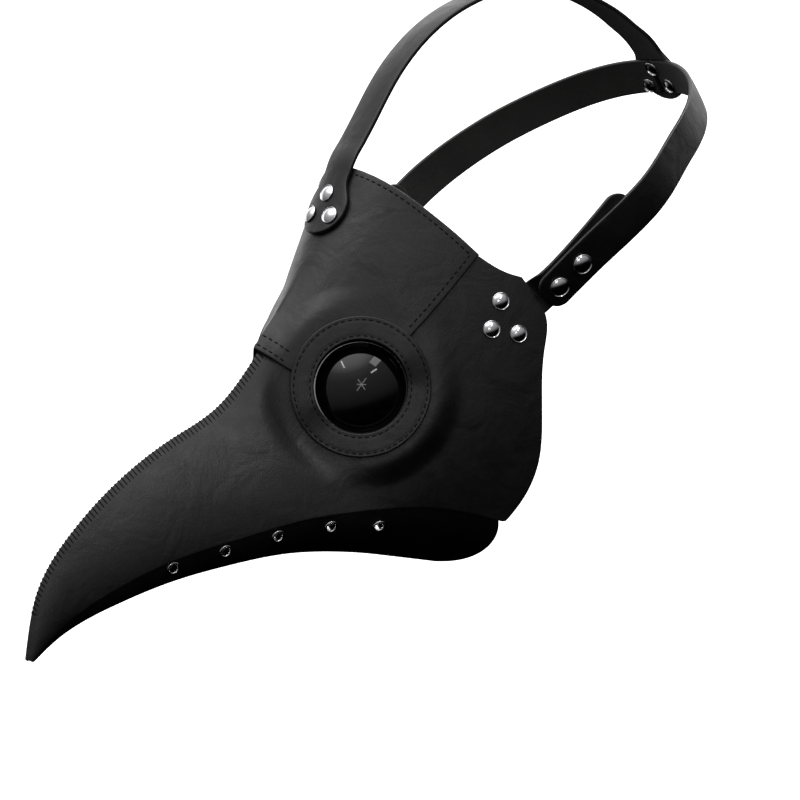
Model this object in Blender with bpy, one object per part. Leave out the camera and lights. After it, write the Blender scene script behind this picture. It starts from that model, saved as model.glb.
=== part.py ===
"""A leather plague doctor mask, as the separate pieces it is cut and riveted from.

The frame is the wearer's head: origin at the middle of the head, +X to the wearer's left,
-Y the way the wearer looks, +Z up through the crown.  Working units are millimetres; a mesh
is scaled to metres when it is made.

The shell of the mask is one smooth surface, the skin, with a position for every (reach, drop):
reach runs from behind the face opening to the tip of the beak, and drop runs from the crest
(0) over the side to the beak's lower seam (1) and round the underside to the keel (2).
Every shell piece is a patch of the skin with its own outline and its own layer.
"""
import math

import bmesh
import bpy
import numpy as np

MM = 0.001

# ---------------------------------------------------------------- driving dimensions
LEATHER = 2.0                 # thickness of every leather piece
GAP = 0.3                     # clearance between pieces that touch
PANEL_GAP = 0.45              # clearance under the forehead panel, which bends over the nose
HEAD = np.array([77.0, 98.0, 92.0])       # half width, length and height of the head
STRAP_WIDTH = 17.5
SPADE_WIDTH = 27.0            # widened end of the head strap
EYE_CENTRE = (31.0, -138.0, -37.0)
EYE_AHEAD = 33.0              # degrees the eye faces forward of straight sideways
EYE_RISE = 20.0               # degrees the eye faces upward
EYE_FLAT = 33.5               # radius of the flat that the ring keeps in the shell
EYE_FADE = 45.0               # radius where the flat has faded out
EYE_CLEAR = 10.0              # nearer the middle plane than this the flat fades too
RING_OUTER = 31.0
RING_INNER = 20.6
RING_STEP = (21.0, 176.0, 16.0)   # arc of the ring over the forehead panel, and its fade, in degrees
SHELL_HOLE = 21.2
LENS_RADIUS = 20.0
LENS_FLANGE = 27.0
LENS_WALL = 1.5
LENS_RISE = 7.5               # height of the dome over its flange
RIVET_CAP = 4.0
RIVET_DOME = 1.7
RIVET_SHANK = 1.5
RIVET_HOLE = 1.9
EYELET_OUTER = 3.1
EYELET_BORE = 1.7
EYELET_HOLE = 2.5
EYELET_REACHES = (108.0, 132.0, 156.0, 180.0, 204.0)
EYELET_DROPS = (1.26, 1.20, 1.18, 1.18, 1.18)
SNAP_CAP = 4.6
SNAP_SOCKET = 3.0
SNAP_SOCKET_BORE = 2.4
SNAP_HOLE = 3.4
STUD_RADIUS = 1.5
STUD_RISE = 1.7

# Layers over the skin; the side panels lie just inside it.
SIDE_LAYER = (-LEATHER, 0.0)
FOREHEAD_LAYER = (PANEL_GAP, PANEL_GAP + LEATHER)
UNDER_LAYER = (-2 * LEATHER - GAP, -LEATHER - GAP)
TAB_LAYER = UNDER_LAYER
SPADE_LAYER = (2 * PANEL_GAP + LEATHER, 2 * PANEL_GAP + 2 * LEATHER)

# Cross-sections of the skin from the rear to the tip.  Each has its reach, then the crest,
# two handles, the lower seam, two handles and the keel: a Bezier curve down the side and
# another round the underside.
SECTIONS = (
    (0, (0, -80, 58), (53, -80, 58), (94, 6, -66), (60, -90, -125),
     (58, -91, -137), (34, -88, -150), (0, -88, -151)),
    (70, (0, -125, 14.5), (28, -125, 14.5), (58, -110, -58), (46, -128, -98.5),
     (45, -128, -112), (28, -127, -126), (0, -127, -129)),
    (118, (0, -165, -12), (14, -164, -26), (27, -164, -58), (35, -160, -87),
     (35, -160, -99), (22, -160, -110), (0, -160, -112)),
    (142, (0, -190, -24.5), (11, -190, -37), (24, -189, -58), (29.5, -183.5, -81),
     (29.5, -183.5, -91.5), (18, -183.5, -101), (0, -184, -102.5)),
    (170, (0, -218, -28.5), (9, -217.5, -39), (20, -217, -58), (23.5, -212.5, -77),
     (23.5, -212.5, -86), (15, -213, -93), (0, -213, -95)),
    (202, (0, -250, -34), (7, -249, -43), (15.5, -248, -58), (17, -246, -73.5),
     (17, -246, -81), (11, -245, -87.5), (0, -245, -89)),
    (235, (0, -282, -45.5), (4.7, -281, -52), (10, -280, -64), (10.5, -279, -75),
     (10.5, -279, -80.5), (6.5, -278.5, -85.5), (0, -278, -86.5)),
    (262, (0, -307, -62), (3.4, -306, -66), (6.5, -304.5, -74), (6, -303, -80),
     (6, -303, -83), (3.6, -303, -86), (0, -303, -87)),
    (287, (0, -323, -87), (1.6, -322.5, -87.5), (2.2, -321.5, -88.2), (2.2, -321, -89),
     (2.2, -321, -90), (1.4, -320.5, -90.6), (0, -320.5, -91)),
)
TIP_REACH = 287.0
TIP_TAPER_FROM = 235.0        # past this reach the leather is skived thinner
TIP_THICKNESS = 0.35          # share of the full thickness left at the tip

# Outlines, as points that are dropped onto the skin.
BROW_EDGE = ((0, -91, 48), (17, -88.5, 42), (29.5, -84.5, 32.5), (38, -80.5, 22.5), (45, -76, 11.5),
             (51.5, -71.5, -0.5))
CHEEK_TOP = ((51.5, -71.5, -0.5), (55, -67, -7.5), (58, -63, -12), (60.5, -58.5, -15.5))
CHEEK_REAR = ((60.5, -58.5, -15.5), (63.5, -56.5, -24.5), (66, -55.5, -36.5), (66, -61.5, -49), (66, -68, -63),
              (66, -73.5, -79), (64, -80, -95.5), (60, -91, -109), (55, -102.5, -117))
DIAGONAL = ((51.5, -71.5, -0.5), (49, -83, -7), (42, -110, -22), EYE_CENTRE)
BRIDGE_EDGE = ((0, -164, -11.5), (4, -162, -15), (9, -156.5, -23), EYE_CENTRE)
HIDDEN_CORNER = (47, -80, 5)  # side panel's corner hidden under the forehead panel
HIDDEN_BRIDGE_REACH = 109.0   # the side panels end here on the crest, under the forehead panel
CHEEK_RIVETS = ((58, -71.5, -22), (57, -80, -32), (62, -70, -38))
REAR_RIVETS = ((0.0, 25.0), (7.0, 16.0), (-7.0, 16.0))        # x and z at the back of the head
FOREHEAD_RIVETS = ((0, -103.5, 39.5), (6.8, -110.5, 32), (-6.8, -110.5, 32))


# ---------------------------------------------------------------- curves and the skin
def smooth(x):
    """Smooth step: 0 below 0, 1 above 1, 3x2 - 2x3 between."""
    x = np.clip(x, 0.0, 1.0)
    return x * x * (3.0 - 2.0 * x)


def unit(v):
    """Vectors scaled to length 1."""
    return v / np.linalg.norm(v, axis=-1, keepdims=True)


def bends(knots, values):
    """Second derivatives of the natural cubic spline through values at knots."""
    n = len(knots)
    h = np.diff(knots)
    matrix = np.eye(n)
    right = np.zeros(values.shape)
    for i in range(1, n - 1):
        matrix[i, i - 1:i + 2] = h[i - 1], 2 * (h[i - 1] + h[i]), h[i]
        right[i] = 6 * ((values[i + 1] - values[i]) / h[i] - (values[i] - values[i - 1]) / h[i - 1])
    return np.linalg.solve(matrix, right.reshape(n, -1)).reshape(values.shape)


def spline(knots, values, second, t):
    """Value at t of the cubic spline with the given second derivatives."""
    i = np.clip(np.searchsorted(knots, t) - 1, 0, len(knots) - 2)
    h = knots[i + 1] - knots[i]
    shape = t.shape + (1,) * (values.ndim - 1)
    b = ((t - knots[i]) / h).reshape(shape)
    a = 1.0 - b
    h = h.reshape(shape)
    cubic = (a ** 3 - a) * second[i] + (b ** 3 - b) * second[i + 1]
    return a * values[i] + b * values[i + 1] + cubic * h * h / 6.0


def curve(points, count):
    """count + 1 points spaced evenly by chord length along a spline through points."""
    points = np.array(points, float)
    lengths = np.linalg.norm(np.diff(points, axis=0), axis=1)
    knots = np.concatenate([[0.0], np.cumsum(lengths)])
    return spline(knots, points, bends(knots, points), np.linspace(0, knots[-1], count + 1))


REACHES = np.array([row[0] for row in SECTIONS], float)
CONTROL = np.array([row[1:] for row in SECTIONS], float)
CONTROL_BENDS = bends(REACHES, CONTROL)
EYE_NORMAL = np.array([
    math.cos(math.radians(EYE_RISE)) * math.cos(math.radians(EYE_AHEAD)),
    -math.cos(math.radians(EYE_RISE)) * math.sin(math.radians(EYE_AHEAD)),
    math.sin(math.radians(EYE_RISE))])


def raw_skin(reach, drop):
    """Points of the left half of the skin before the flat at the eye is pressed in."""
    net = spline(REACHES, CONTROL, CONTROL_BENDS, reach)
    under = drop > 1.0
    t = np.where(under, drop - 1.0, drop)[..., None]
    first = np.where(under[..., None, None], net[..., 3:7, :], net[..., 0:4, :])
    return ((1 - t) ** 3 * first[..., 0, :] + 3 * t * (1 - t) ** 2 * first[..., 1, :]
            + 3 * t * t * (1 - t) * first[..., 2, :] + t ** 3 * first[..., 3, :])


def nearest(points, surface):
    """(reach, drop) of the surface points closest to the given points."""
    points = np.atleast_2d(np.array(points, float))
    grid_r, grid_d = np.meshgrid(np.linspace(0, TIP_REACH, 72), np.linspace(0, 2, 61), indexing="ij")
    samples = surface(grid_r.ravel(), grid_d.ravel())
    pick = np.argmin(((points[:, None] - samples[None]) ** 2).sum(-1), axis=1)
    r = grid_r.ravel()[pick]
    d = grid_d.ravel()[pick]
    for _ in range(12):
        here = surface(r, d)
        along = (surface(r + 0.05, d) - here) / 0.05
        down = (surface(r, d + 0.0005) - here) / 0.0005
        miss = points - here
        aa = (along * along).sum(-1)
        dd = (down * down).sum(-1)
        ad = (along * down).sum(-1)
        ma = (miss * along).sum(-1)
        md = (miss * down).sum(-1)
        det = aa * dd - ad * ad + 1e-9
        r = np.clip(r + (ma * dd - md * ad) / det, 0, TIP_REACH)
        d = np.clip(d + (md * aa - ma * ad) / det, 0, 2)
    return np.stack([r, d], -1)


EYE_UV = nearest(EYE_CENTRE, raw_skin)[0]
EYE = raw_skin(EYE_UV[:1], EYE_UV[1:])[0]


def skin(reach, drop):
    """Points of the left half of the skin, with the flat that the eye ring holds."""
    p = raw_skin(reach, drop)
    lift = ((p - EYE) @ EYE_NORMAL)[..., None]
    flat = p - lift * EYE_NORMAL
    radius = np.linalg.norm(flat - EYE, axis=-1)
    weight = (1.0 - smooth((radius - EYE_FLAT) / (EYE_FADE - EYE_FLAT))) * smooth(p[..., 0] / EYE_CLEAR)
    return p - weight[..., None] * lift * EYE_NORMAL


def skin_normal(reach, drop):
    """Outward unit normals of the skin."""
    step_r = np.where(reach > TIP_REACH - 1, -0.2, 0.2)
    step_d = np.where(drop > 1.99, -0.002, 0.002)
    here = skin(reach, drop)
    along = (skin(reach + step_r, drop) - here) / step_r[..., None]
    down = (skin(reach, drop + step_d) - here) / step_d[..., None]
    return unit(np.cross(along, down))


def thin(reach):
    """Share of the full leather thickness: 1, then skived down towards the tip."""
    return 1.0 - (1.0 - TIP_THICKNESS) * smooth((reach - TIP_TAPER_FROM) / (TIP_REACH - TIP_TAPER_FROM))


def layer(uv, height):
    """Points at a height over the skin, kept on the wearer's left of the middle plane.

    On the crest and on the keel the two halves meet, so those points move within the middle
    plane, as far as a mitre needs.
    """
    reach = uv[..., 0]
    drop = uv[..., 1]
    normal = skin_normal(reach, drop)
    middle = normal * np.array([0.0, 1.0, 1.0])
    mitre = middle / (middle ** 2).sum(-1, keepdims=True)
    on_middle = ((drop < 1e-6) | (drop > 2 - 1e-6))[..., None]
    points = skin(reach, drop) + np.where(on_middle, mitre, normal) * (height * thin(reach))[..., None]
    points[..., 0] = np.where(on_middle[..., 0], 0.0, np.maximum(points[..., 0], 0.0))
    return points


def on_head(points, height):
    """Points pushed radially onto the head's ellipsoid, then out along its normal."""
    points = points / np.linalg.norm(points / HEAD, axis=-1, keepdims=True)
    return points + unit(points / HEAD ** 2) * height


def coons(top, bottom, left, right):
    """Grid of (reach, drop) between four sides: top and bottom run along, left and right down."""
    s = np.linspace(0, 1, len(left))[:, None, None]
    t = np.linspace(0, 1, len(top))[None, :, None]
    ruled_down = (1 - s) * top[None] + s * bottom[None]
    ruled_along = (1 - t) * left[:, None] + t * right[:, None]
    corners = ((1 - s) * (1 - t) * top[0] + (1 - s) * t * top[-1]
               + s * (1 - t) * bottom[0] + s * t * bottom[-1])
    return ruled_down + ruled_along - corners


def straight(start, end, count):
    """count + 1 points on the straight line between two points."""
    return np.linspace(np.array(start, float), np.array(end, float), count + 1)


# ---------------------------------------------------------------- meshes
MATERIALS = {}


def material(name, colour, roughness, metallic):
    """A Principled material, made once for each name."""
    if name not in MATERIALS:
        made = bpy.data.materials.new(name)
        made.use_nodes = True
        shader = made.node_tree.nodes["Principled BSDF"]
        shader.inputs["Base Color"].default_value = (*colour, 1.0)
        shader.inputs["Roughness"].default_value = roughness
        shader.inputs["Metallic"].default_value = metallic
        MATERIALS[name] = made
    return MATERIALS[name]


def leather_material():
    return material("black_leather", (0.012, 0.012, 0.013), 0.42, 0.0)


def metal_material():
    return material("nickel_plate", (0.78, 0.78, 0.80), 0.14, 1.0)


def lens_material():
    return material("smoked_lens", (0.01, 0.01, 0.012), 0.05, 0.0)


def add_mesh(name, vertices, faces, finish, pivot=(0.0, 0.0, 0.0)):
    """A closed mesh object from millimetre points, faces turned outward, origin at pivot."""
    pivot = np.array(pivot, float)
    mesh = bpy.data.meshes.new(name)
    mesh.from_pydata([tuple(p) for p in (np.asarray(vertices) - pivot) * MM], [], faces)
    work = bmesh.new()
    work.from_mesh(mesh)
    bmesh.ops.remove_doubles(work, verts=work.verts, dist=1e-6)
    bmesh.ops.recalc_face_normals(work, faces=work.faces)
    if work.calc_volume(signed=True) < 0:
        bmesh.ops.reverse_faces(work, faces=work.faces)
    bmesh.ops.triangulate(work, faces=[f for f in work.faces if len(f.verts) > 3])
    work.to_mesh(mesh)
    work.free()
    mesh.shade_smooth()
    mesh.set_sharp_from_angle(angle=math.radians(40))
    mesh.materials.append(finish)
    thing = bpy.data.objects.new(name, mesh)
    thing.location = pivot * MM
    bpy.context.scene.collection.objects.link(thing)
    return thing


def slab(outer, inner):
    """Vertices and faces of a closed sheet between two grids of points."""
    rows, cols = outer.shape[:2]
    index = np.arange(rows * cols).reshape(rows, cols)
    other = index + rows * cols
    faces = []
    for i in range(rows - 1):
        for j in range(cols - 1):
            faces.append((index[i, j], index[i + 1, j], index[i + 1, j + 1], index[i, j + 1]))
            faces.append((other[i, j], other[i, j + 1], other[i + 1, j + 1], other[i + 1, j]))
    rim = np.concatenate([index[0, :-1], index[:-1, -1], index[-1, :0:-1], index[:0:-1, 0]])
    for k in range(len(rim)):
        a = rim[k]
        b = rim[(k + 1) % len(rim)]
        faces.append((a, b, b + rows * cols, a + rows * cols))
    faces = [tuple(int(v) for v in face) for face in faces]
    return np.concatenate([outer.reshape(-1, 3), inner.reshape(-1, 3)]), faces


def frame_at(normal):
    """Two unit vectors across a normal; the first is as level as it can be."""
    normal = unit(np.array(normal, float))
    level = np.cross([0.0, 0.0, 1.0], normal)
    level = unit(level) if np.linalg.norm(level) > 1e-3 else np.array([1.0, 0.0, 0.0])
    return level, np.cross(normal, level), normal


def turned(profile, centre, normal, sides):
    """A profile of (radius, height) pairs turned about a normal, closed where it meets the axis."""
    across, up, out = frame_at(normal)
    turn = np.linspace(0, 2 * math.pi, sides, endpoint=False)
    spoke = np.cos(turn)[:, None] * across + np.sin(turn)[:, None] * up
    profile = np.array(profile, float)
    rings = (np.array(centre, float) + profile[:, None, 1:] * out + profile[:, None, :1] * spoke[None])
    vertices = rings.reshape(-1, 3)
    faces = []
    loop = len(profile)
    for i in range(loop):
        k = (i + 1) % loop
        if profile[i][0] < 1e-9 and profile[k][0] < 1e-9:
            continue
        for j in range(sides):
            n = (j + 1) % sides
            faces.append((i * sides + j, i * sides + n, k * sides + n, k * sides + j))
    return vertices, faces


def clean(vertices, faces):
    """The same mesh with points that coincide merged, and faces that lost a side repaired."""
    keys = {}
    remap = []
    kept = []
    for p in vertices:
        key = tuple(np.round(p, 5))
        if key not in keys:
            keys[key] = len(kept)
            kept.append(p)
        remap.append(keys[key])
    tidy = []
    for face in faces:
        loop = []
        for v in face:
            if not loop or remap[v] != loop[-1]:
                loop.append(remap[v])
        if len(loop) > 1 and loop[0] == loop[-1]:
            loop.pop()
        if len(loop) > 2:
            tidy.append(tuple(loop))
    return np.array(kept), tidy


def mirror(points):
    """The same points on the other side of the middle plane."""
    return np.asarray(points, float) * np.array([-1.0, 1.0, 1.0])


def add_turned(name, profile, centre, normal, finish, sides, pivot=(0.0, 0.0, 0.0)):
    """A turned piece as an object."""
    vertices, faces = clean(*turned(profile, centre, normal, sides))
    return add_mesh(name, vertices, faces, finish, pivot)


def punch(thing, centres, normals, radii, reach=9.0, sides=16):
    """Round holes cut through a piece, all by one cutter of short rods."""
    vertices = []
    faces = []
    for centre, normal, radius in zip(centres, normals, radii):
        rod = [(0, -reach), (radius, -reach), (radius, reach), (0, reach)]
        more, more_faces = clean(*turned(rod, centre, normal, sides if radius < 10 else 48))
        faces += [tuple(v + len(vertices) for v in face) for face in more_faces]
        vertices += list(more)
    cutter = add_mesh(thing.name + "_cutter", np.array(vertices), faces, thing.data.materials[0])
    cutter.hide_render = True
    cutter.display_type = "WIRE"
    cut = thing.modifiers.new("holes", "BOOLEAN")
    cut.operation = "DIFFERENCE"
    cut.solver = "EXACT"
    cut.object = cutter


def spot(point):
    """A point dropped onto the skin, on either side, with the skin's normal there."""
    side = -1.0 if point[0] < 0 else 1.0
    uv = nearest([abs(point[0]), point[1], point[2]], skin)
    place = skin(uv[:, 0], uv[:, 1])[0]
    normal = skin_normal(uv[:, 0], uv[:, 1])[0]
    if abs(point[0]) < 1e-6:
        place[0] = 0.0
        normal = unit(normal * np.array([0.0, 1.0, 1.0]))
    flip = np.array([side, 1.0, 1.0])
    return place * flip, normal * flip


# ---------------------------------------------------------------- shell panels
def side_panel_grid():
    """Grid of the side panel: along from the tip to the cheek, down from the crest to the seam."""
    beak = 17
    back = 18
    rear = nearest(curve(CHEEK_REAR, 12), skin)
    rear[-1, 1] = 1.0
    hidden_eye = EYE_UV + np.array([-4.0, -0.10])
    corner = nearest(HIDDEN_CORNER, skin)[0]
    crest = straight((TIP_REACH, 0), (HIDDEN_BRIDGE_REACH, 0), beak)
    hidden = np.concatenate([straight(crest[-1], hidden_eye, 6), straight(hidden_eye, corner, 6)[1:]])
    cheek = nearest(curve(CHEEK_TOP, back - 13), skin)
    upper = np.concatenate([crest, hidden[1:], straight(corner, cheek[0], 1)[1:], cheek[1:]])
    upper[-1] = rear[0]
    lower = np.concatenate([straight((TIP_REACH, 1), (HIDDEN_BRIDGE_REACH, 1), beak),
                            straight((HIDDEN_BRIDGE_REACH, 1), rear[-1], back)[1:]])
    tip = straight((TIP_REACH, 0), (TIP_REACH, 1), 12)
    return coons(upper, lower, tip, rear)


def forehead_grid():
    """Grid of the forehead panel's left half: along the crest, and out to the diagonal seam."""
    brow = nearest(curve(BROW_EDGE, 10), skin)
    brow[0, 1] = 0.0
    bridge_side = nearest(curve(BRIDGE_EDGE, 10), skin)
    bridge_side[0, 1] = 0.0
    centre = straight(brow[0], bridge_side[0], 12)
    diagonal = nearest(curve(DIAGONAL, 12), skin)
    return coons(centre, diagonal, brow, bridge_side)


def under_grid():
    """Grid of the under panel's left half: along from the tip, and round from tuck to keel."""
    count = 24
    reach = np.linspace(TIP_REACH - 2, 24, count + 1)
    tuck = np.interp(reach, (24, 118, 235, TIP_REACH), (0.94, 0.90, 0.82, 0.75))
    upper = np.stack([reach, tuck], -1)
    keel = np.stack([reach + np.linspace(0, 6, count + 1), np.full(count + 1, 2.0)], -1)
    return coons(upper, keel, straight(upper[0], keel[0], 7), straight(upper[-1], keel[-1], 7))


def add_side_panel(side):
    grid = side_panel_grid()
    outer = layer(grid, SIDE_LAYER[1])
    inner = layer(grid, SIDE_LAYER[0])
    for face in (outer, inner):
        face[..., 0] = np.maximum(face[..., 0], GAP / 2)
    if side == "right":
        outer = mirror(outer)
        inner = mirror(inner)
    panel = add_mesh(side + "_side_panel", *slab(outer, inner), leather_material())
    flip = np.array([1.0 if side == "left" else -1.0, 1.0, 1.0])
    spots = [spot(np.array(p) * flip) for p in CHEEK_RIVETS]
    centres = [EYE * flip] + [s[0] for s in spots]
    normals = [EYE_NORMAL * flip] + [s[1] for s in spots]
    punch(panel, centres, normals, [SHELL_HOLE] + [RIVET_HOLE] * 3)


def both_halves(half):
    """A half grid joined to its mirror image along its middle column or row."""
    return np.concatenate([mirror(half)[:0:-1], half])


def add_forehead_panel():
    grid = forehead_grid()
    outer = both_halves(layer(grid, FOREHEAD_LAYER[1]))
    inner = both_halves(layer(grid, FOREHEAD_LAYER[0]))
    panel = add_mesh("forehead_panel", *slab(outer, inner), leather_material())
    spots = [spot(p) for p in FOREHEAD_RIVETS]
    centres = [EYE, mirror(EYE)] + [s[0] for s in spots]
    normals = [EYE_NORMAL, mirror(EYE_NORMAL)] + [s[1] for s in spots]
    punch(panel, centres, normals, [SHELL_HOLE] * 2 + [RIVET_HOLE] * 3)


def eyelet_spots():
    """Places and normals of the vent eyelets on the under panel's left flank."""
    reach = np.array(EYELET_REACHES)
    drop = np.array(EYELET_DROPS)
    return skin(reach, drop), skin_normal(reach, drop)


def add_under_panel():
    grid = under_grid()[::-1]
    outer = both_halves(layer(grid, UNDER_LAYER[1]))
    inner = both_halves(layer(grid, UNDER_LAYER[0]))
    panel = add_mesh("under_beak_panel", *slab(outer, inner), leather_material())
    places, normals = eyelet_spots()
    centres = list(places) + list(mirror(places))
    punch(panel, centres, list(normals) + list(mirror(normals)), [EYELET_HOLE] * 10, 8.0)


def add_eyelets():
    low = UNDER_LAYER[0] - 2 * GAP
    high = UNDER_LAYER[1] + 2 * GAP
    shank = EYELET_HOLE - GAP
    profile = [(EYELET_BORE, low - 0.5), (EYELET_OUTER - 0.4, low - 0.5), (EYELET_OUTER - 0.4, low), (shank, low),
               (shank, high), (EYELET_OUTER, high), (EYELET_OUTER - 0.4, high + 0.6), (EYELET_BORE, high + 0.3)]
    places, normals = eyelet_spots()
    for side, flip in (("left", 1.0), ("right", -1.0)):
        for number, (place, normal) in enumerate(zip(places, normals), 1):
            turn = np.array([flip, 1.0, 1.0])
            add_turned(f"{side}_eyelet_{number}", profile, place * turn, normal * turn, metal_material(), 14)


# ---------------------------------------------------------------- eyes
def ring_height(angle):
    """Extra height of the eye ring where it rides over the forehead panel's edge."""
    start = math.radians(RING_STEP[0])
    stop = math.radians(RING_STEP[1])
    fade = math.radians(RING_STEP[2])
    middle = (start + stop) / 2
    half = (stop - start) / 2
    away = np.abs((angle - middle + math.pi) % (2 * math.pi) - math.pi)
    return (LEATHER + PANEL_GAP) * (1.0 - smooth((away - half) / fade))


def add_eye(side):
    flip = np.array([1.0 if side == "left" else -1.0, 1.0, 1.0])
    across, up, out = frame_at(EYE_NORMAL)
    turn = np.linspace(0, 2 * math.pi, 56, endpoint=False)
    spoke = np.cos(turn)[:, None] * across + np.sin(turn)[:, None] * up
    lift = ring_height(turn)[:, None]
    corners = [(RING_INNER, GAP), (RING_OUTER, GAP), (RING_OUTER, GAP + LEATHER), (RING_INNER, GAP + LEATHER)]
    loops = [EYE + radius * spoke + (height + lift) * out for radius, height in corners]
    vertices = np.concatenate(loops) * flip
    sides = len(turn)
    faces = []
    for i in range(4):
        for j in range(sides):
            k = (i + 1) % 4
            n = (j + 1) % sides
            faces.append((i * sides + j, i * sides + n, k * sides + n, k * sides + j))
    add_mesh(side + "_eye_ring", vertices, faces, leather_material())

    seat = SIDE_LAYER[0] - GAP
    ball = (LENS_RADIUS ** 2 + LENS_RISE ** 2) / (2 * LENS_RISE)
    sweep = np.linspace(math.asin(LENS_RADIUS / ball), 0, 7)
    dome = [(ball * math.sin(a), seat + LENS_RISE - ball * (1 - math.cos(a))) for a in sweep]
    hollow = [((ball - LENS_WALL) * math.sin(a), z - LENS_WALL * math.cos(a))
              for a, (_, z) in zip(sweep, dome)]
    profile = [(LENS_FLANGE, seat)] + dome + hollow[::-1] + [(LENS_FLANGE, seat - LENS_WALL)]
    add_turned(side + "_lens", profile, EYE * flip, EYE_NORMAL * flip, lens_material(), 28)

    back = seat - LENS_WALL - GAP
    ring = [(RING_INNER, back - 1.2), (LENS_FLANGE, back - 1.2), (LENS_FLANGE, back), (RING_INNER, back)]
    add_turned(side + "_lens_retaining_ring", ring, EYE * flip, EYE_NORMAL * flip,
               material("black_plastic", (0.02, 0.02, 0.02), 0.5, 0.0), 32)


# ---------------------------------------------------------------- rivets
def rivet_profile(low, high):
    """Profile of a double-cap rivet that clamps leather lying between two heights."""
    top = [(RIVET_CAP, high + GAP), (RIVET_CAP, high + GAP + 0.35), (RIVET_CAP * 0.72, high + GAP + 1.2),
           (0, high + GAP + RIVET_DOME)]
    bottom = [(0, low - GAP - 0.9), (RIVET_CAP - 1, low - GAP - 0.7), (RIVET_CAP - 0.7, low - GAP)]
    return bottom + [(RIVET_SHANK, low - GAP), (RIVET_SHANK, high + GAP)] + top


def add_shell_rivets():
    for side, flip in (("left", 1.0), ("right", -1.0)):
        for number, point in enumerate(CHEEK_RIVETS, 1):
            place, normal = spot(np.array(point) * np.array([flip, 1.0, 1.0]))
            add_turned(f"{side}_cheek_rivet_{number}", rivet_profile(TAB_LAYER[0], SIDE_LAYER[1]),
                       place, normal, metal_material(), 14)
    for number, point in enumerate(FOREHEAD_RIVETS, 1):
        place, normal = spot(point)
        add_turned(f"forehead_rivet_{number}", rivet_profile(FOREHEAD_LAYER[0] - GAP, SPADE_LAYER[1]),
                   place, normal, metal_material(), 14)


# ---------------------------------------------------------------- straps
# Underside of the head strap in the middle plane, as (y, z): up from its spade on the
# forehead panel, free over the brow, round the head, down to its spade at the back.
HEAD_STRAP_LINE = ((-117, 25.5), (-109, 34.4), (-101, 43), (-91.6, 50), (-74, 62.4), (-56.4, 75.3),
                   (-29.8, 87.9), (0, 92.5), (30, 88.3), (57, 75.9), (79, 56.8), (92.4, 36), (98.1, 21.5),
                   (100.4, 7.5))
HEAD_STRAP_ARCH = 60.0        # radius the head strap curves to across its width
SPADE_LENGTH = 25.0
ON_PANEL_LENGTH = 30.0        # how far the front spade lies on the forehead panel
ON_BACK_LENGTH = 32.0         # how far the rear spade lies on the back strap

# Centre line of the side strap on the head, from its end by the cheek to the back of the head.
SIDE_STRAP_LINE = ((63.8, -53.5, -27.6), (69, -43, -21), (73, -30, -14.2), (76, -10, -6.8), (76.5, 8, -1),
                   (71, 35, 7.5), (56, 66, 14.5), (30, 88, 19.5), (0, 95.7, 20.5))
STRAP_LOW = 0.6               # height of a strap that lies on the head
STRAP_OVER_TAB = 4.4          # height of the side strap where it lies over the tab
TAB_ON_HEAD = 2.1             # height of the tab over the head
STRAP_LIFT_Y = (-54.0, -46.0)  # its front end lifts a little where the tab slopes under it
OVER_TAB_Y = (2.0, 42.0)      # between these the side strap comes down onto the head
FLEX_X = 26.0                 # the side straps start to swing here, at the back
SNAP_FROM_END = 8.7
SNAP_PITCH = 14.0

# Centre line of the tab: its root lies under the cheek, its tail runs back over the head.
TAB_LINE = ((60, -90, -31.5), (61, -78, -29), (63, -66, -28.5), (65.5, -53, -25), (70.5, -38, -17),
            (75, -22, -8), (77, -4, 0.8))
TAB_ROOT_WIDTH = 27.0
TAB_FLEX_Y = -56.0
TAB_LEAVES = (-55.0, -50.5)   # between these the tab passes from the cheek to the head


def arc_rows(length, start_radius, end_radius, step):
    """Distances along a strip, close together where its ends are round."""
    lead = start_radius * (1 - np.cos(np.linspace(0, math.pi / 2, 6)))
    tail = length - end_radius * (1 - np.cos(np.linspace(0, math.pi / 2, 6)))[::-1]
    count = max(2, int((tail[0] - lead[-1]) / step))
    return np.concatenate([lead, np.linspace(lead[-1], tail[0], count + 1)[1:-1], tail])


def round_width(distance, length, width, start_radius, end_radius):
    """Half width of a strip at a distance, drawn in along a quarter circle at a round end."""
    share = np.ones_like(distance)
    for gone, radius in ((distance, start_radius), (length - distance, end_radius)):
        if radius > 0:
            t = np.clip(1 - gone / radius, 0, 0.995)
            share = np.minimum(share, np.sqrt(1 - t * t))
    return width / 2 * share


def along(points, distances):
    """Points and directions at distances along a smooth line through points."""
    fine = curve(points, 400)
    gone = np.concatenate([[0], np.cumsum(np.linalg.norm(np.diff(fine, axis=0), axis=1))])
    place = np.stack([np.interp(distances, gone, fine[:, k]) for k in range(3)], -1)
    ahead = np.stack([np.interp(np.asarray(distances) + 0.5, gone, fine[:, k]) for k in range(3)], -1)
    behind = np.stack([np.interp(np.asarray(distances) - 0.5, gone, fine[:, k]) for k in range(3)], -1)
    return place, unit(ahead - behind), gone[-1]


ACROSS = np.linspace(-1, 1, 5)


def on_skin(points, height):
    """Points dropped onto the skin, on either side of the middle plane, then raised."""
    shape = points.shape
    flat = points.reshape(-1, 3)
    flip = np.where(flat[:, :1] < 0, -1.0, 1.0) * np.array([1.0, 0.0, 0.0]) + np.array([0.0, 1.0, 1.0])
    uv = nearest(flat * flip, skin)
    raised = skin(uv[:, 0], uv[:, 1]) + skin_normal(uv[:, 0], uv[:, 1]) * height
    return (raised * flip).reshape(shape)


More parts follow.
